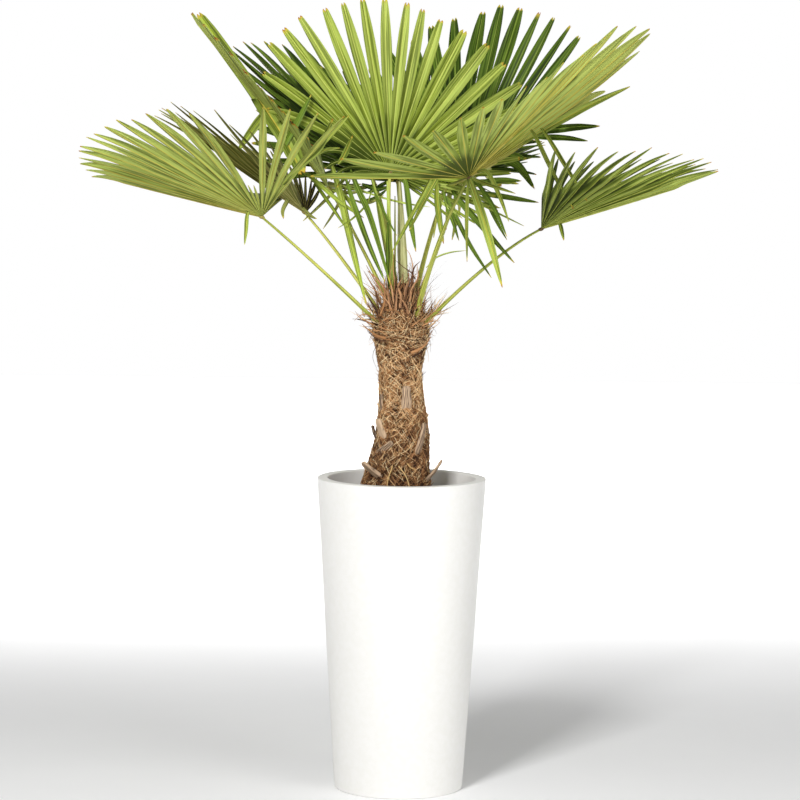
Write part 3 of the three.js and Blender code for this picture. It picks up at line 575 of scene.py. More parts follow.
def at_pixel(px, py, depth):
    """The point seen at a pixel of the square view, on the upright plane whose y is the depth."""
    right, up, forward = camera_axes()
    focal = CAMERA_LENS / SENSOR_WIDTH * VIEW_PIXELS
    middle = VIEW_PIXELS / 2
    ray = forward + (px - middle) / focal * right + (middle - py) / focal * up
    place = np.array(CAMERA_PLACE) / MM
    return place + ray * (depth - place[1]) / ray[1]


def courses_through(courses, count):
    """Smooth curves of count samples through courses of pixels with their depths."""
    return np.stack([through([at_pixel(*point) for point in course], count) for course in courses])


def distance_along(centre):
    """How far along its curve each point of centre (n,s,3) lies: the sum of the steps up to it."""
    step = np.diff(centre, axis=1, prepend=centre[:, :1])
    return np.cumsum(np.linalg.norm(step, axis=-1), axis=1)


def tubes(centre, radius, profile, towards):
    """Tubes of a flat profile (r,2) along centre (n,s,3): centre + radius (x across + y normal), where normal
    leans to towards."""
    tangent = unit(np.gradient(centre, axis=1))
    across = unit(np.cross(tangent, towards))
    normal = np.cross(across, tangent)
    x = radius[..., None] * profile[:, 0]
    y = radius[..., None] * profile[:, 1]
    return (centre[:, :, None] + x[..., None] * across[:, :, None] + y[..., None] * normal[:, :, None]), x


def round_profile(count, flat_top=1.0, width=1.0):
    """A round section: x is width cos t, y is sin t, its upper half pressed by flat_top."""
    t = -np.arange(count) * 2 * np.pi / count
    y = np.sin(t)
    return np.stack([width * np.cos(t), np.where(y > 0, y * flat_top, y)], -1)


def add_tubes(name, slot, centre, radius, profile, towards, materials, rng, kinds=0):
    """One piece of closed tubes, each with its own tint and with the material that its kind picks."""
    rings, x = tubes(centre, radius, profile, towards)
    n, s, r = rings.shape[:3]
    kinds = np.broadcast_to(np.asarray(kinds).reshape(-1, 1, 1), (n, s - 1, r))
    points, faces, face_kinds = strips(rings, kinds, 0)
    ends = len(face_kinds) - kinds.size
    face_kinds[-ends:] = np.tile(np.repeat(kinds[:, 0, 0], ends // (2 * n)), 2)
    tint = np.repeat(rng.random(n), s * r)
    return make_piece(name, slot, points, faces, face_kinds, materials,
                      (x, distance_along(centre)[..., None]), tint=tint)


# Blades

OVER, UNDER = 0, 1
BLADE_SIDES = np.array([OVER] * 4 + [UNDER] * 6)
# Across a blade: its five columns in half widths, and the fold mark of its ten points, whose negative part
# is painted shade: darkest on the edges, where fused fingers meet, and deeper on one flank than the other
COLUMNS = np.array([-1, -0.5, 0, 0.5, 1.0])
FOLD_LINE_AND_SHADE = np.array([-1, -0.5, 1, 0, -0.6, -0.6, 0, 1, -0.5, -1.0])
# Along a blade: its samples, as parts of the joined and of the free stretch
JOINED_STEPS = np.linspace(0, 1, 6)[None]
FREE_STEPS = np.array([0.08, 0.18, 0.3, 0.42, 0.54, 0.66, 0.77, 0.86, 0.93, 0.97, 1.0])[None]
RIB_SAMPLES = 11
# Depth of the pleats, from the hub (-1) over the end of the joined stretch (0) to the tip (1)
PLEAT_STAGES, PLEAT_DEPTHS = (-1, -0.7, 0, 0.4, 1), (0.9, 0.8, 0.6, 0.45, 0.3)
# Length of the dried tips, in millimetres, least and most
DRIED_TIP = 2.5, 8


def leaf_axes(leaf):
    """Axis, side and facing of a fan's plane. The axis lies at the azimuth and elevation; the facing is the
    upright's part across the axis, turned about it by the roll."""
    azimuth, elevation, roll = np.radians(leaf["turn"])
    axis = np.array([math.cos(azimuth) * math.cos(elevation), math.sin(azimuth) * math.cos(elevation),
                     math.sin(elevation)])
    level = unit(UP - axis[2] * axis)
    facing = math.cos(roll) * level + math.sin(roll) * np.cross(level, axis)
    return axis, np.cross(facing, axis), facing


def leaf_ray(leaf, degrees):
    """Unit direction at an angle from the leaf's axis, lifted out of its plane by
    lift * |sin| + cup * sin(half)^2."""
    axis, side, facing = leaf_axes(leaf)
    t = np.radians(degrees)[..., None]
    plus, minus, cup = leaf["lift"]
    lift = np.where(t > 0, plus, minus) * np.abs(np.sin(t)) + cup * np.sin(t / 2) ** 2
    return unit(np.cos(t) * axis + np.sin(t) * side + lift * facing)


def finger_angles(leaf, half):
    """The angles of a half's fingers: first plus or minus whole pitches, inside the span."""
    pitch, first = leaf["pitch"], leaf["first"]
    start = first + math.ceil((leaf["span"][0] - first) / pitch) * pitch
    angles = np.arange(start, leaf["span"][1] + 1e-9, pitch)
    return angles[angles < 0] if half == "minus" else angles[angles >= 0]


def side_value(leaf, name, degrees):
    """A fact that is stated at SIDE_ANGLES, in straight lines between them."""
    return np.interp(degrees, SIDE_ANGLES, leaf[name])


def of_side(pair, degrees, starts, full):
    """The minus or the plus value of a pair, setting in between two angles from the axis."""
    return np.where(degrees < 0, pair[0], pair[1]) * smoothstep(np.abs(degrees), starts, full)


def half_blade(leaf, half, rng):
    """The fingers of half a leaf. A point at u is hub + ray * (reach u - 0.45 bend) - z * bend, with
    bend = sag reach free^2 and free = max(0, (u - fused) / (1 - fused)); the half width is half the spacing
    of the fingers times u (1 - (1 - blunt) free^2.2)."""
    degrees = finger_angles(leaf, half)
    n = len(degrees)
    low, high, left_over = leaf["broken"]
    plain = np.interp(degrees, REACH_ANGLES, leaf["reach"])
    plain = np.where((degrees > low) & (degrees < high), plain * left_over, plain)
    reach = (plain * rng.uniform(0.985, 1.0, n))[:, None]
    fused = side_value(leaf, "fused", degrees)[:, None] * rng.uniform(0.85, 1.15, (n, 1))
    fused = np.minimum(fused, 0.97)
    joined = FINGER_START + (fused - FINGER_START) * JOINED_STEPS
    u = np.concatenate([joined, fused + (1 - fused) * FREE_STEPS], axis=1)
    free = np.maximum(0, (u - fused) / (1 - fused))

    ray = leaf_ray(leaf, degrees)
    sideways = unit(leaf_ray(leaf, degrees + 0.5) - leaf_ray(leaf, degrees - 0.5))
    sag = (leaf["sag"][2] + of_side(leaf["sag"], degrees, SAG_STARTS, SAG_FULL))[:, None]
    bend = sag * reach * free ** 2
    centre = (np.array(leaf["hub"]) + ray[:, None] * (reach * u - SAG_SHORTENING * bend)[..., None]
              - bend[..., None] * UP)
    loose = np.minimum(1, 2 * (1 - fused))
    sway = rng.normal(0, 0.008, (n, 1)) * (reach * loose * free ** 2)
    lift = rng.normal(0, 0.014, (n, 1)) * (reach * loose * free ** 2)
    centre = centre + sway[..., None] * sideways[:, None] + lift[..., None] * np.cross(ray, sideways)[:, None]

    edge = leaf["pitch"] / 2
    gap = leaf_ray(leaf, degrees + edge) - leaf_ray(leaf, degrees - edge)
    spacing = np.linalg.norm(gap, axis=-1)[:, None]
    narrow = (1 - of_side(leaf["narrow"], degrees, NARROW_STARTS, NARROW_FULL))[:, None]
    narrowing = 1 + (narrow * (1 - leaf["slim"]) - 1) * smoothstep(free, 0, 0.3)
    half_width = 0.5 * reach * spacing * narrowing * u * (1 - (1 - leaf["blunt"]) * free ** FREE_POWER)
    tangent = unit(np.gradient(centre, axis=1))
    across = np.broadcast_to(sideways[:, None], centre.shape)
    across = unit(across - (across * tangent).sum(-1, keepdims=True) * tangent)
    normal = np.cross(tangent, across) * leaf["upper"]
    normal = normal * np.sign((normal[:, :1] * (leaf["upper"] * leaf_axes(leaf)[2])).sum(-1, keepdims=True))
    twist = rng.normal(0, 0.18, (n, 1)) * loose * free ** 1.5
    across, normal = turned(across, normal, twist[..., None])
    stage = free + np.minimum(u / fused, 1) - 1
    fold = leaf["pleat"] * np.interp(stage, PLEAT_STAGES, PLEAT_DEPTHS) * rng.uniform(0.8, 1.2, (n, 1))

    tone, spread = leaf["tone"]
    # painted shade: shade darkens the tint of the outer fingers, and dim darkens it near the hub
    shade = of_side(leaf["shade"], degrees, SHADE_STARTS, SHADE_FULL)
    tint = tone + spread * (rng.random(n) - 0.5) - shade + leaf["band"] * np.exp(-(degrees / 7) ** 2)
    tint = tint[:, None] - leaf["dim"] * (1 - smoothstep(reach * u, 40, 250))
    return dict(centre=centre, across=across, normal=normal, half_width=half_width, fold=fold, free=free,
                along=reach * u, tint=tint, ripe=side_value(leaf, "ripe", degrees),
                costa=(1.6 * np.exp(-(degrees / 5) ** 2))[:, None])


def blade_rings(centre, across, normal, half_width, fold, notch):
    """Pleated blades as rings of ten points, five over and five under: centre + x across + y normal, where y
    is the half width times fold (|column| - 1/2) and a slight crown between folds. notch splits the tip."""
    crown = 0.12 * (1 - np.abs(2 * np.abs(COLUMNS) - 1))
    x = half_width[..., None] * COLUMNS
    y = half_width[..., None] * (fold[..., None] * (np.abs(COLUMNS) - 0.5) + crown)
    tangent = unit(np.gradient(centre, axis=1))
    end = np.zeros(centre.shape[1])
    end[-1] = 1
    pull = -notch[:, None, None] * end[None, :, None] * np.array([0.55, 0, 1, 0, 0.55])
    middle = (centre[:, :, None] + x[..., None] * across[:, :, None] + y[..., None] * normal[:, :, None]
              + pull[..., None] * tangent[:, :, None])
    half = BLADE_THICKNESS / 2
    over = middle + half * normal[:, :, None]
    under = middle - half * normal[:, :, None]
    return np.concatenate([over, under[:, :, ::-1]], axis=2), np.concatenate([x, x[..., ::-1]], axis=2)


def rib_rings(centre, across, normal, half_width, fold, costa):
    """Four-sided ribs along the blades' folds, lower than the fold's line by half its depth, thinning from
    1.4 mm at the hub to 0.2 mm where they end, a little past half way along the free stretch; costa (n,1)
    thickens the middle ones near the hub."""
    s = RIB_SAMPLES
    part = np.linspace(0, 1, s)[None, :]
    width = np.minimum(0.7 - 0.6 * part, half_width[:, :s] * 0.13)
    width = width + costa * np.clip(1 - 1.4 * part, 0, 1)
    valley = centre[:, :s] - (half_width * fold * 0.5)[:, :s, None] * normal[:, :s]
    a = width[..., None] * across[:, :s]
    over = valley + (0.5 * BLADE_THICKNESS + 0.5 * width[..., None]) * normal[:, :s]
    under = valley - (0.5 * BLADE_THICKNESS + width[..., None]) * normal[:, :s]
    return np.stack([valley + a, over, valley - a, under], axis=2)


def add_blades(name, look, centre, across, normal, half_width, fold, free, along, tint, ripe, rng, costa=0):
    """One piece of pleated blades, whose last few millimetres are dried, and one piece of their ribs, which
    end half way along."""
    n, s = centre.shape[:2]
    finish, slot = LOOKS[look], leaf_slot(look)
    notch = np.minimum(rng.uniform(0.2, 1.0, n) * half_width[:, -2] * 2.2, NOTCH_LIMIT)
    rings, x = blade_rings(centre, across, normal, half_width, fold, notch)
    points, faces, kinds = strips(rings, BLADE_SIDES, UNDER)
    fused = 1 - smoothstep(free, 0.0, 0.12)
    # the fold mark's painted shade fades to a tenth of its depth where the fingers come free
    line_and_shade_mark = np.where(FOLD_LINE_AND_SHADE < 0, FOLD_LINE_AND_SHADE * (0.1 + 0.9 * fused[..., None]), FOLD_LINE_AND_SHADE)
    length = along[:, -1:]
    dried = rng.uniform(*DRIED_TIP, (n, 1))
    tip = smoothstep(along, length - 2 * dried, length) * rng.uniform(0.5, 1.1, (n, 1))
    edges = 0.35 * ripe[:, None] * (1 - fused) + 0.45 * ripe[:, None]
    dry_mark = np.maximum(tip, edges)[..., None] + 0 * x
    piece = make_piece(name, slot, points, faces, kinds, [finish["upper"], finish["under"]],
                       (x, along[..., None]), 14, tint=np.repeat(tint, 10, axis=1).ravel(),
                       fold=line_and_shade_mark.ravel(), dry=dry_mark.ravel(), vary=np.repeat(rng.random(n), s * 10))
    ribs = rib_rings(centre, across, normal, half_width, fold, costa)
    make_piece(name + "_ribs", slot, *strips(ribs, 0, 0), [finish["rib"]],
               (np.zeros(4), along[:, :RIB_SAMPLES, None]), tint=np.repeat(rng.random(n), RIB_SAMPLES * 4))
    return piece


# Leaves

def leaf_slot(look):
    """The record's slot for a look: dark and olive leaves share one."""
    return {"bright": "leaf_bright", "pale": "leaf_pale", "mid": "leaf_mid"}.get(look, "leaf_dark")


def blades(name, leaf):
    """The two halves of a fan, in place of their CAD blades."""
    for i, half in enumerate(("minus", "plus")):
        rng = seeded(sorted(LEAVES).index(name), i)
        piece = add_blades(f"fan_{name}_{half}", leaf["look"], rng=rng, **half_blade(leaf, half, rng))
        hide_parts(f"blade_{name}_{half}")


def stalk_curve(leaf, count):
    """The stalk's line: a Bezier curve from its foot to the hub, bent towards the leaf's axis."""
    axis = leaf_axes(leaf)[0]
    foot, hub = np.array(leaf["foot"], float), np.array(leaf["hub"], float)
    reach = np.linalg.norm(hub - foot)
    middle = hub - leaf["arch"] * reach * axis + (leaf["arch"] - STALK_BEND_BACK) * (hub - foot)
    return bezier(np.stack([foot, middle, hub - 0.4 * axis])[None], np.linspace(0, 1, count))


def stalk(name, leaf):
    """The leaf's stalk, flatter above, thinning by t^0.6 from the trunk to the hub."""
    t = np.linspace(0, 1, 36)
    radius = STALK_FOOT_RADIUS + (STALK_END_RADIUS - STALK_FOOT_RADIUS) * t ** STALK_TAPER_POWER
    piece = add_tubes(f"leaf_stalk_{name}", "stalk", stalk_curve(leaf, len(t)), radius[None],
                      round_profile(12, 0.6, 1.1), UP, [STALK], seeded(100 + sorted(LEAVES).index(name)))
    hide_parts(f"stalk_{name}")


def spear():
    """The folded youngest leaf: a straight tube with uneven folds along it, widest below its middle."""
    t = np.linspace(0, 1, 30)
    foot, tip = np.array(SPEAR["foot"], float), np.array(SPEAR["tip"], float)
    centre = foot + (tip - foot) * t[:, None]
    radii = [SPEAR["foot_radius"], SPEAR["widest_radius"], SPEAR["tip_radius"]]
    radius = SPEAR["swell"] * np.interp(t, [0, SPEAR["widest_at"], 1], radii)
    folds = 1 + 0.12 * np.cos(8 * np.arange(16))[:, None]
    piece = add_tubes("folded_young_leaf", "young_leaf", centre[None], radius[None],
                      round_profile(16) * folds, np.array([0, 1.0, 0]), [YOUNG], seeded(150))
    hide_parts("spear")


def hub_collars():
    """Small dried knots where each stalk meets its fan: short tubes of radius 5.2 sqrt(1 - 0.85 t^2)."""
    hub = np.array([leaf["hub"] for leaf in LEAVES.values()], float)
    axis = np.stack([leaf_axes(leaf)[0] for leaf in LEAVES.values()])
    t = np.linspace(-1, 1, 7)
    centre = hub[:, None] + 7.0 * t[None, :, None] * axis[:, None]
    size = 5.2 * np.sqrt(1 - 0.85 * t ** 2)[None] * np.ones((len(hub), 1))
    add_tubes("hub_collars", "stalk", centre, size, round_profile(10, 0.7), np.array([0, 0.1, 1.0]), [COLLAR],
              seeded(180))


def loose_fingers():
    """Fingers torn from their fans: pleated blades through the points of their course, slender and pointed,
    or blunt where several are still joined."""
    t = np.linspace(0, 1, 18)
    slender = np.interp(t, [0, 0.25, 0.5, 0.75, 0.92, 1], [0.4, 0.8, 1, 0.8, 0.42, 0.12])
    broad = np.interp(t, [0, 0.25, 0.5, 0.8, 0.95, 1], [0.8, 1, 1, 0.95, 0.7, 0.4])
    for look, fingers in LOOSE_FINGERS.items():
        rng = seeded(200 + sorted(LOOKS).index(look))
        shape = len(fingers), len(t)
        centre = courses_through([course for _, _, *course in fingers], len(t))
        width = np.array([f[0] for f in fingers], float)[:, None]
        tone = np.array([f[1] for f in fingers], float)[:, None] * np.ones(len(t))
        half_width = 0.5 * width * np.where(width > BROAD_PIECE, broad, slender)
        tangent = unit(np.gradient(centre, axis=1))
        across = unit(np.cross(tangent, np.array([0, 1.0, 0.05])))
        twist = rng.normal(0, 0.3, len(fingers))[:, None, None]
        across, normal = turned(across, np.cross(tangent, across), twist)
        add_blades(f"loose_{look}", look, centre, across, normal, half_width, np.full(shape, 0.45),
                   np.broadcast_to(t, shape), distance_along(centre) + 120, tone, np.zeros(len(fingers)), rng)


# Trunk

TUFTED = ("far_left", "far_right", "left", "high_left", "front_right", "back_left", "back_right")
# Heights between which the coir grows, and of the frayed bulge under the crown, with half the bulge's height
COIR_FOOT, COIR_TOP = 686, 1165
BULGE, BULGE_HALF = 1085, 35
GOLDEN_ANGLE = 137.5
FIBRE_SECTION = round_profile(3)
ASLANT = np.array([0.1, 0.2, 1.0])
STRIP_FINISHES = [DRY_SHEATH, FIBRE[1], FIBRE[2]]


def skin_radius(z):
    """The trunk's radius at a height, in straight lines between its rings."""
    return np.interp(z, TRUNK_RINGS[:, 0], TRUNK_RINGS[:, 2])


def skin_centre(z):
    """How far to the side the trunk's middle lies at a height."""
    return np.interp(z, TRUNK_RINGS[:, 0], TRUNK_RINGS[:, 1])


def round_about(centre, radius, turn, z):
    """Points round an upright axis: (centre + r cos t, r sin t, z)."""
    return np.stack([centre + radius * np.cos(turn), radius * np.sin(turn), z], -1)


def skin_point(turn, z, proud):
    """A point on the trunk's skin at an angle and height, proud of it by some millimetres. Its radius is the
    rings' one, uneven by two slow waves."""
    uneven = 1 + 0.04 * np.sin(3 * turn + z / 60) + 0.03 * np.sin(5 * turn - z / 37)
    return round_about(skin_centre(z), skin_radius(z) * uneven + proud, turn, z)


def waves(a, b, rng, count, scale):
    """Uneven smooth noise of about +-1: the mean of some sine waves across two coordinates."""
    k = rng.normal(0, 1, (count, 2)) * scale
    phase = rng.uniform(0, 2 * np.pi, count)
    total = sum(np.sin(k[i, 0] * a + k[i, 1] * b + phase[i]) for i in range(count))
    return total / math.sqrt(count)


def trunk_core():
    """The trunk under its fibre: rings round the skin, proud by sheath ledges that climb it, a coarse weave,
    and lumps of two sizes."""
    rng = seeded(300)
    heights, sides = 240, 220
    z = np.linspace(TRUNK_RINGS[0, 0], TRUNK_RINGS[-1, 0], heights)[:, None]
    turn = -np.linspace(0, 2 * np.pi, sides, endpoint=False)[None, :]
    round_x, round_y = 60 * np.cos(turn), 60 * np.sin(turn)
    ledge = (z / 62 - turn * 3 / (2 * np.pi)) % 1
    weave = np.abs(np.sin(z / 5.5 + turn * 9)) + np.abs(np.sin(z / 5.5 - turn * 9))
    lump = waves(round_x + z * 0.3, round_y + z, rng, 9, 1 / 22)
    small = waves(round_x + z * 0.7, round_y - z, rng, 12, 1 / 5)
    proud = 4.5 * (ledge - 0.7) + 0.9 * (weave - 1.2) + 2.4 * lump + 1.1 * small - 3
    rings = skin_point(np.broadcast_to(turn, (heights, sides)), np.broadcast_to(z, (heights, sides)), proud)
    piece = make_piece("trunk_core_relief", "trunk", *strips(rings[None], 0, 0), [CORE_AND_SHADE])
    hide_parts("trunk")


def woven_fibres():
    """Coarse coir round the trunk: short strands that climb at slants both ways, flatter round the bulge, a
    little proud of the skin, three-sided, light ones over dark ones, with gaps that show the core. The light
    ones are most half way up and fewest near the soil."""
    t = np.linspace(-0.5, 0.5, 5)[None]
    for name, seed, count, proud, radius, bare in (
            ("coir_under", 410, 6000, 0.4, 1.2, -2), ("coir_over", 409, 5400, 2.0, 1.15, -1.0)):
        rng = seeded(seed)
        z0 = rng.uniform(COIR_FOOT, COIR_TOP, count)
        turn0 = rng.uniform(0, 2 * np.pi, count)
        patch = waves(60 * np.cos(turn0) + 0.4 * z0, 60 * np.sin(turn0) + 0.8 * z0, rng, 8, 1 / 11)
        kept = patch > bare
        z0, turn0 = z0[kept, None], turn0[kept, None]
        n = len(z0)
        length = rng.uniform(18, 56, (n, 1))
        flatter = np.abs(z0[:, 0] - BULGE) < BULGE_HALF
        steep = np.where(flatter, rng.uniform(0, 40, n), rng.uniform(22, 68, n))
        slant = np.radians(rng.choice([-1, 1], n) * steep)[:, None]
        angle = slant + rng.normal(0, 0.3, (n, 1)) * t * 2
        z = np.clip(z0 + length * t * np.sin(angle), 682, 1215)
        turn = turn0 + length * t * np.cos(angle) / skin_radius(z)
        lift = proud + rng.uniform(-0.6, 1.2, (n, 1)) + 3.0 * rng.random((n, 1)) * np.abs(2 * t) ** 3
        centre = skin_point(turn, z, lift)
        outward = unit(centre * [1, 1, 0] - skin_centre(z)[..., None] * [1, 0, 0])
        size = radius * rng.uniform(0.55, 1.25, (n, 1)) * (1 - 0.55 * np.abs(2 * t) ** 2)
        light = np.interp(z0[:, 0], [690, 800, 950, 1040, 1150], [0.04, 0.16, 0.6, 0.44, 0.28])
        pick = rng.random(n)
        kinds = np.where(pick < light, 0, np.where(pick < light + 0.38, 1, 2))
        if name == "coir_under":
            kinds = np.where(rng.random(n) < 0.7, 2, 1)
        add_tubes(name, "trunk", centre, size, FIBRE_SECTION, outward, FIBRE, rng, kinds)


def bristles(name, foot, course, length, thick, rng, light):
    """Stiff fibres (n) that start at foot along course and bend by t^2, thinning to a point; light of them
    are light ones."""
    n = len(foot)
    t = np.linspace(0, 1, 6)[None, :, None]
    bend = rng.normal(0, 0.16, (n, 1, 3))
    centre = foot[:, None] + length[:, None, None] * (course[:, None] * t + bend * t ** 2)
    size = thick[:, None] * (1 - 0.85 * t[0, :, 0] ** 1.5)[None]
    kinds = np.where(rng.random(n) < light, 0, rng.choice((1, 1, 2), n))
    add_tubes(name, "trunk", centre, size, FIBRE_SECTION, ASLANT, FIBRE, rng, kinds)


def tufts():
    """Broken sheath that fans out round each low stalk where it leaves the fibre."""
    rng = seeded(550)
    each = 75
    n = each * len(TUFTED)
    feet, courses = [], []
    for name in TUFTED:
        line = stalk_curve(LEAVES[name], 12)[0]
        stretch = line[3] - line[0]
        feet.append(line[0] + stretch * rng.uniform(-0.3, 0.3, (each, 1)) + rng.normal(0, 9, (each, 3)))
        courses.append(unit(unit(stretch) + rng.normal(0, 0.32, (each, 3))))
    bristles("sheath_tufts", np.concatenate(feet), np.concatenate(courses), rng.uniform(22, 62, n),
             rng.uniform(0.8, 1.9, n), rng, 0.5)


def sheath_lips():
    """Frayed rims of old sheaths that climb the trunk, each a golden angle on from the last: fibres that
    start along slanting arcs of the skin and point up and out, longest round the bulge under the crown."""
    rng = seeded(560)
    rims, each = 22, 55
    feet, courses, lengths = [], [], []
    for i in range(rims):
        turn = math.radians(GOLDEN_ANGLE * i + 215) + rng.uniform(-0.95, 0.95, each)
        z = 700 + 19.5 * i + 16 * (turn - turn.mean()) * (-1) ** i + rng.normal(0, 2.5, each)
        out = np.stack([np.cos(turn), np.sin(turn), 0 * turn], -1)
        side = np.stack([-np.sin(turn), np.cos(turn), 0 * turn], -1)
        feet.append(skin_point(turn, z, -1.0))
        lean = rng.uniform(0.15, 0.9, (each, 1))
        courses.append(unit(lean * out + rng.normal(0, 0.55, (each, 1)) * side + UP))
        at_bulge = np.exp(-((z - (BULGE - 10)) / 40) ** 2)
        lengths.append(rng.uniform(9, 21, each) + 14 * at_bulge * rng.random(each))
    bristles("sheath_lips", np.concatenate(feet), np.concatenate(courses), np.concatenate(lengths),
             rng.uniform(0.7, 1.6, rims * each), rng, 0.55)


def loose_fibres():
    """Frayed hairs that stand off the trunk and curl by t^2, most of them round the bulge under the crown."""
    rng = seeded(500)
    count = 900
    column = count, 1
    t = np.linspace(0, 1, 7)[None]
    at_bulge = rng.random(column) < 0.6
    z0 = np.where(at_bulge, rng.normal(BULGE + 3, 26, column), rng.uniform(700, 1150, column))
    turn0 = rng.uniform(0, 2 * np.pi, column)
    length = rng.uniform(14, 46, column) * np.where(z0 > 1040, 1, 0.45)
    up = rng.normal(0.35, 0.8, column)
    around = rng.normal(0, 0.7, column)
    away = rng.uniform(0.1, 0.75, column)
    curl = rng.normal(0, 0.8, column)
    z = z0 + length * t * up + length * curl * t ** 2 * 0.4
    turn = turn0 + length * t * around / 60 + 0.15 * curl * t ** 2
    centre = skin_point(turn, z, 1 + length * away * t - length * 0.25 * t ** 2)
    size = rng.uniform(0.45, 1.05, column) * (1 - 0.7 * t)
    add_tubes("frayed_hairs", "trunk", centre, size, FIBRE_SECTION, ASLANT, FIBRE, rng,
              rng.choice((0, 1, 2), count))


def dry_sheaths():
    """Dry red-brown sheath strips that rise round the stalks' feet, twisted and pointed, wide ones lower than
    the thin ones between them. Their radius goes from r0 by height spread t^1.8."""
    t = np.linspace(0, 1, 11)[None]
    for name, seed, count, tall, wide in (("dry_sheath_strips", 695, 95, (40, 115), (1.3, 4)),
                                          ("dry_sheath_hairs", 770, 170, (45, 150), (0.5, 1.3))):
        rng = seeded(seed)
        column = count, 1
        turn0 = rng.uniform(0, 2 * np.pi, column)
        z0 = rng.uniform(1088, 1172, column)
        height = rng.uniform(*tall, column) * (1 - 0.3 * (z0 > 1140))
        spread = rng.uniform(-0.15, 0.75, column)
        r0 = skin_radius(z0) * rng.uniform(0.75, 1.02, column)
        r = np.maximum(r0 * (1 - 0.4 * t) + height * spread * t ** 1.8, 3)
        turn = turn0 + rng.normal(0, 0.6, column) * t ** 2
        z = z0 + height * (t - 0.12 * np.abs(spread) * t ** 2)
        width = rng.uniform(*wide, column) * np.interp(t, [0, 0.3, 1], [0.8, 1, 0.12])
        outward = np.stack([np.cos(turn), np.sin(turn), 0 * turn], -1)
        add_tubes(name, "trunk", round_about(skin_centre(z), r, turn, z), width, round_profile(6) * [1, 0.22],
                  outward, STRIP_FINISHES, rng, rng.choice((0, 0, 0, 1, 2), count))


def dry_curls():
    """Dry sheath strips that curl up in front between the stalks, flat and pointed, through their courses."""
    t = np.linspace(0, 1, 14)
    centre = courses_through([course for _, _, *course in DRY_CURLS], len(t))
    width = np.array([c[0] for c in DRY_CURLS], float)
    size = 0.42 * width[:, None] * np.interp(t, [0, 0.3, 1], [1, 0.9, 0.15])
    kinds = np.array([c[1] for c in DRY_CURLS])
    add_tubes("dry_sheath_curls", "trunk", centre, size, round_profile(6) * [1, 0.35],
              np.array([0, -1.0, 0.1]), STRIP_FINISHES, seeded(650), kinds)


def back_stub_places():
    """Cut leaf bases at the back, each higher than the last and two steps round from it."""
    b = BACK_STUBS
    for i in range(b["count"]):
        turn = math.radians(b["first_angle"] + ((i * 2) % b["count"]) * b["angle_step"])
        z = b["first_height"] + i * b["height_step"]
        skin = b["skin_radius"] - b["skin_taper"] * (z - b["first_height"])
        foot, tip = skin - b["sunk"], skin + b["proud"]
        yield ((foot * math.cos(turn), foot * math.sin(turn), z),
               (tip * math.cos(turn), tip * math.sin(turn), z + b["length"]), b["width"], 0.5)


def stubs():
    """Cut leaf bases: flat woody tongues with a rounded section (a superellipse with six grooves), cut across
    at the tip."""
    everything = [*STUBS, *back_stub_places()]
    foot, tip = (np.array([s[i] for s in everything], float) for i in (0, 1))
    width = np.array([s[2] for s in everything], float)
    t = np.linspace(0, 1, 9)
    centre = foot[:, None] + (tip - foot)[:, None] * t[None, :, None]
    outward = unit(tip * [1, 1, 0])[:, None]
    centre = centre + outward * (3 * np.sin(np.pi * t))[None, :, None]
    size = 0.5 * width[:, None] * np.interp(t, [0, 0.75, 0.9, 1], [1.6, 1.0, 1.1, 0.8])[None]
    size = size * (1 + 0.05 * np.sin(np.arange(9) * 2.1))
    turn = -np.arange(20) * 2 * np.pi / 20
    superellipse = np.stack([np.sign(np.cos(turn)) * np.abs(np.cos(turn)) ** 0.6,
                             0.5 * np.sign(np.sin(turn)) * np.abs(np.sin(turn)) ** 0.7], -1)
    groove = 1 + 0.06 * np.cos(6 * turn)[:, None]
    rings, x = tubes(centre, size, superellipse * groove, outward)
    tint = np.repeat([s[3] for s in everything], rings.shape[1] * rings.shape[2])
    make_piece("cut_leaf_bases", "trunk", *strips(rings, 0, 1), [BASE_WOOD, BASE_CUT],
               (x, (t * 60)[:, None]), 40, tint=tint)


def rootlets():
    """A few thin roots over the foot of the trunk, each thinner towards its end."""
    centre = np.stack([through(course, 16) for course in ROOTLETS])
    size = ROOTLET_RADIUS * np.linspace(1, 0.6, 16)[None] * np.ones((len(ROOTLETS), 1))
    add_tubes("rootlets", "trunk", centre, size, round_profile(6), np.array([0, -1.0, 0]), [ROOTLET],
              seeded(800))


# Planter and soil

def lathe(name, slot, profile, sides, materials, bumps=0.0):
    """A turned shape from a profile (k,2) of radius and height that starts and ends on the axis: rings of
    (r cos t, r sin t, z + bump), joined by quads, and by triangles to a pole at either end."""
    turn = np.linspace(0, 2 * np.pi, sides, endpoint=False)
    body = profile[1:-1]
    k = len(body)
    radius = body[:, :1] * np.ones(sides)
    rings = round_about(0, radius, turn, body[:, 1:] + bumps + 0 * radius).reshape(-1, 3)
    points = np.concatenate([rings, [[0, 0, profile[0, 1]], [0, 0, profile[-1, 1]]]])
    here = np.arange(sides)
    there = (here + 1) % sides
    row = sides * np.arange(k - 1)[:, None]
    side = np.stack([row + here, row + there, row + sides + there, row + sides + here], -1).reshape(-1, 4)
    first_pole, last_pole = np.full((2, sides), [[k * sides], [k * sides + 1]])
    last = (k - 1) * sides
    start = np.stack([there, here, first_pole, first_pole], -1)
    end = np.stack([last + here, last + there, last_pole, last_pole], -1)
    return make_piece(name, slot, points, np.concatenate([side, start, end]), 0, materials, sharp=35)


def rounded(corner, before, after, radius, steps=7):
    """Points of a corner rounded between its neighbours: a quadratic curve that starts radius before it."""
    corner, before, after = (np.array(p, float) for p in (corner, before, after))
    a = corner + unit(before - corner) * radius
    b = corner + unit(after - corner) * radius
    t = np.linspace(0, 1, steps)[:, None]
    return (1 - t) ** 2 * a + 2 * t * (1 - t) * corner + t ** 2 * b


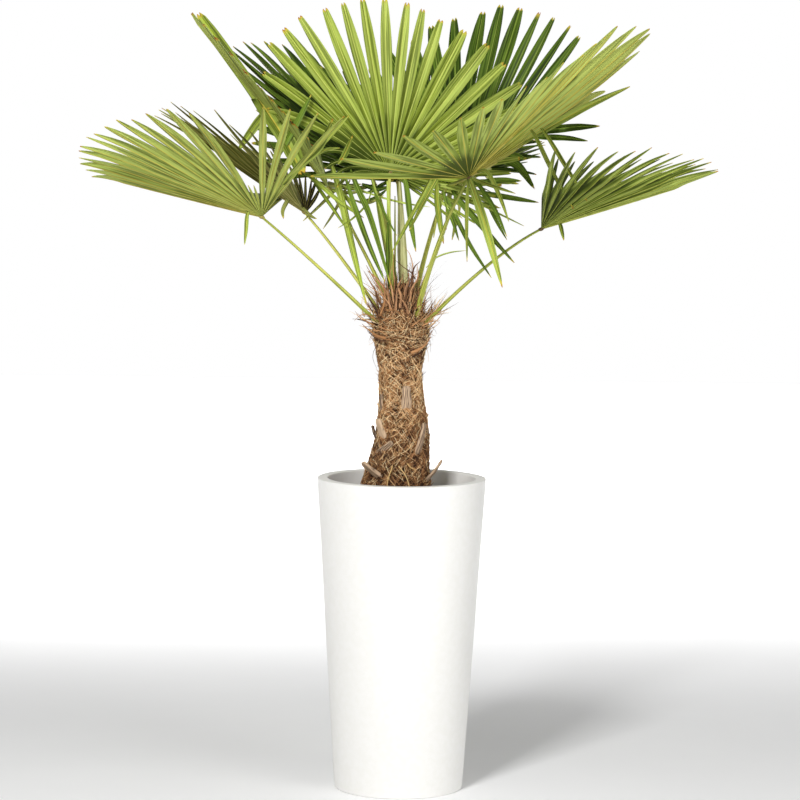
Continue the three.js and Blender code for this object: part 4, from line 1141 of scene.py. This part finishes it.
def inner_radius(z):
    """The radius of the planter's inside at a height."""
    slope = (POT_RIM_RADIUS - POT_BASE_RADIUS) / POT_HEIGHT
    return POT_BASE_RADIUS + slope * z - POT_RIM_WIDTH


def planter():
    """The planter's wall: a straight taper outside and inside, with softly rounded edges."""
    outer_foot, outer_rim = (POT_BASE_RADIUS, 0), (POT_RIM_RADIUS, POT_HEIGHT)
    inner_rim = (POT_RIM_RADIUS - POT_RIM_WIDTH, POT_HEIGHT)
    inner_foot = (inner_radius(POT_FLOOR), POT_FLOOR)
    corners = [(0, 0), outer_foot, outer_rim, inner_rim, inner_foot, (0, POT_FLOOR)]
    edges = [rounded(corner, before, after, POT_EDGE)
             for before, corner, after in zip(corners, corners[1:], corners[2:])]
    profile = np.concatenate([corners[:1], *edges, corners[-1:]])
    piece = lathe("planter_wall", "pot", profile, 192, [WHITE_PLASTIC])
    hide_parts("pot")


def soil():
    """Potting soil: a disc whose surface has lumps of up to 6 mm, from waves of two sizes."""
    rng = seeded(900)
    edge, foot = inner_radius(SOIL_TOP) - SOIL_GAP, inner_radius(POT_FLOOR) - SOIL_GAP
    sides, rings = 160, 60
    r = np.linspace(edge, 2, rings)
    bottom, top = POT_FLOOR + 0.3, SOIL_TOP - 2.0
    surface = np.stack([r, np.full(rings, top)], -1)
    profile = np.concatenate([[(0, bottom)], [(foot, bottom)], surface, [(0, top)]])
    turn = np.linspace(0, 2 * np.pi, sides, endpoint=False)[None]
    x, y = r[:, None] * np.cos(turn), r[:, None] * np.sin(turn)
    lumps = 1.6 * waves(x, y, rng, 10, 1 / 9) + 1.2 * waves(x, y, rng, 10, 1 / 3.5)
    bumps = np.concatenate([np.zeros((1, sides)), lumps])
    piece = lathe("potting_soil_surface", "soil", profile, sides, [SOIL], bumps)
    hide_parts("soil")
    bark_chips(edge, rng)


def bark_chips(edge, rng):
    """Bark chips scattered over the soil: uneven small boxes, tilted and then turned."""
    count = 1500
    radius = edge * np.sqrt(rng.uniform(0.2, 0.94, count))
    turn = rng.uniform(0, 2 * np.pi, count)
    centre = round_about(0, radius, turn, SOIL_TOP - 1 + rng.uniform(-1, 3, count))
    size = rng.uniform(1, 5.5, (count, 1)) * np.array([1, 0.55, 0.3])
    corner = np.array([[x, y, z] for z in (-1, 1) for x, y in ((-1, -1), (-1, 1), (1, 1), (1, -1))], float)
    shape = corner[None] * size[:, None] * rng.uniform(0.6, 1.3, (count, 8, 3))
    way, tilt = rng.uniform(0, 2 * np.pi, (count, 1)), rng.normal(0, 0.35, (count, 1))
    x, y, z = shape[..., 0], shape[..., 1], shape[..., 2]
    z, x = turned(z, x, tilt)
    y, x = turned(y, x, way)
    points = (centre[:, None] + np.stack([x, y, z], -1)).reshape(-1, 3)
    quads = np.array([(0, 1, 2, 3), (7, 6, 5, 4), (1, 0, 4, 5), (2, 1, 5, 6), (3, 2, 6, 7), (0, 3, 7, 4)])
    faces = (quads[None] + 8 * np.arange(count)[:, None, None]).reshape(-1, 4)
    make_piece("bark_chips", "soil", points, faces, 0, [BARK], sharp=30)


# Stage: camera, floor and light

def placed(x, y, z, place):
    """The matrix with these axes and this place as its columns."""
    matrix = np.eye(4)
    matrix[:3] = np.stack([x, y, z, place], -1)
    return Matrix(matrix.tolist())


def camera_axes():
    """Right, up and forward of the camera: level, pitched down, then rolled about its view."""
    pitch, roll = math.radians(CAMERA_PITCH), math.radians(CAMERA_ROLL)
    forward = np.array([0, math.cos(pitch), -math.sin(pitch)])
    right = np.array([1.0, 0, 0])
    up = np.cross(right, forward)
    return math.cos(roll) * right + math.sin(roll) * up, math.cos(roll) * up - math.sin(roll) * right, forward


def camera():
    """The camera at the photo's viewing angle, its sensor as wide as the square view."""
    data = bpy.data.cameras.new("camera")
    data.lens = CAMERA_LENS
    data.sensor_width = SENSOR_WIDTH
    data.clip_end = 60
    view = add_object("camera", data)
    right, up, forward = camera_axes()
    view.matrix_world = placed(right, up, -forward, CAMERA_PLACE)
    bpy.context.scene.camera = view


def floor():
    """A matt pale floor that reaches far behind the plant, with a very faint mottle."""
    material, shader = new_material("pale_floor", 0.9)
    place = add_node(material, "TexCoord", output="Object")
    noise = add_node(material, "TexNoise", {"Vector": place, "Scale": 3.0})
    colour = add_node(material, "Mix", {0: noise, 6: "#f3f3f3", 7: "#f7f7f7"}, 2, data_type="RGBA")
    set_inputs(shader, {"Base Color": colour})
    mesh = bpy.data.meshes.new("floor")
    half, far_edge = 14, 11.5
    corners = [(-half, -half, 0), (half, -half, 0), (half, far_edge, 0), (-half, far_edge, 0)]
    mesh.from_pydata(corners, [], [(0, 1, 2, 3)])
    mesh.materials.append(material)
    add_object("floor", mesh)


def area_light(name, place, target, size, power):
    """A square lamp that shines from its place towards a target."""
    data = bpy.data.lights.new(name, "AREA")
    data.shape = "SQUARE"
    data.size = size
    data.energy = power
    back = unit(np.array(place, float) - np.array(target, float))
    side = unit(np.cross(UP, back))
    add_object(name, data).matrix_world = placed(side, np.cross(back, side), back, place)
    return data


def lights():
    """White low behind the plant, dimmer elsewhere; a soft key in front, to the left and above; a weak fill;
    and two lamps whose beams stay on the far floor."""
    world = bpy.data.worlds.new("studio")
    world.use_nodes = True
    way = add_node(world, "TexCoord", output="Generated")
    parts = add_node(world, "SeparateXYZ", {"Vector": way}).node.outputs
    high, near = [add_node(world, "MapRange", {"Value": parts[axis], "From Min": start, "From Max": full},
                           interpolation_type="SMOOTHSTEP")
                  for axis, start, full in (("Z", 0.1, 0.4), ("Y", 0.5, -0.1))]
    dim = add_node(world, "Math", {0: high, 1: near}, operation="MAXIMUM")
    colour = add_node(world, "Mix", {0: dim, 6: "#ffffff", 7: "#999999"}, 2, data_type="RGBA")
    set_inputs(world.node_tree.nodes["Background"], {"Color": colour})
    bpy.context.scene.world = world
    area_light("key", (-1.7, -4.3, 3.8), (0, 0, 1.3), 1.1, 235)
    area_light("fill", (3.2, -3.0, 1.6), (0, 0, 1.2), 2.6, 72)
    for y in (5.4, 10.4):
        area_light(f"backdrop_{y:.0f}", (0, y, 3.6), (0, y + 0.1, 0), 6, 210).spread = math.radians(70)


bpy.context.scene.view_settings.view_transform = "Standard"
camera()
lights()
floor()
planter()
soil()
trunk_core()
woven_fibres()
loose_fibres()
tufts()
sheath_lips()
dry_sheaths()
dry_curls()
stubs()
rootlets()
spear()
for leaf_name, leaf_facts in LEAVES.items():
    stalk(leaf_name, leaf_facts)
    blades(leaf_name, leaf_facts)
hub_collars()
loose_fingers()


def plain(box):
    return [[float(x) for x in corner] for corner in box]
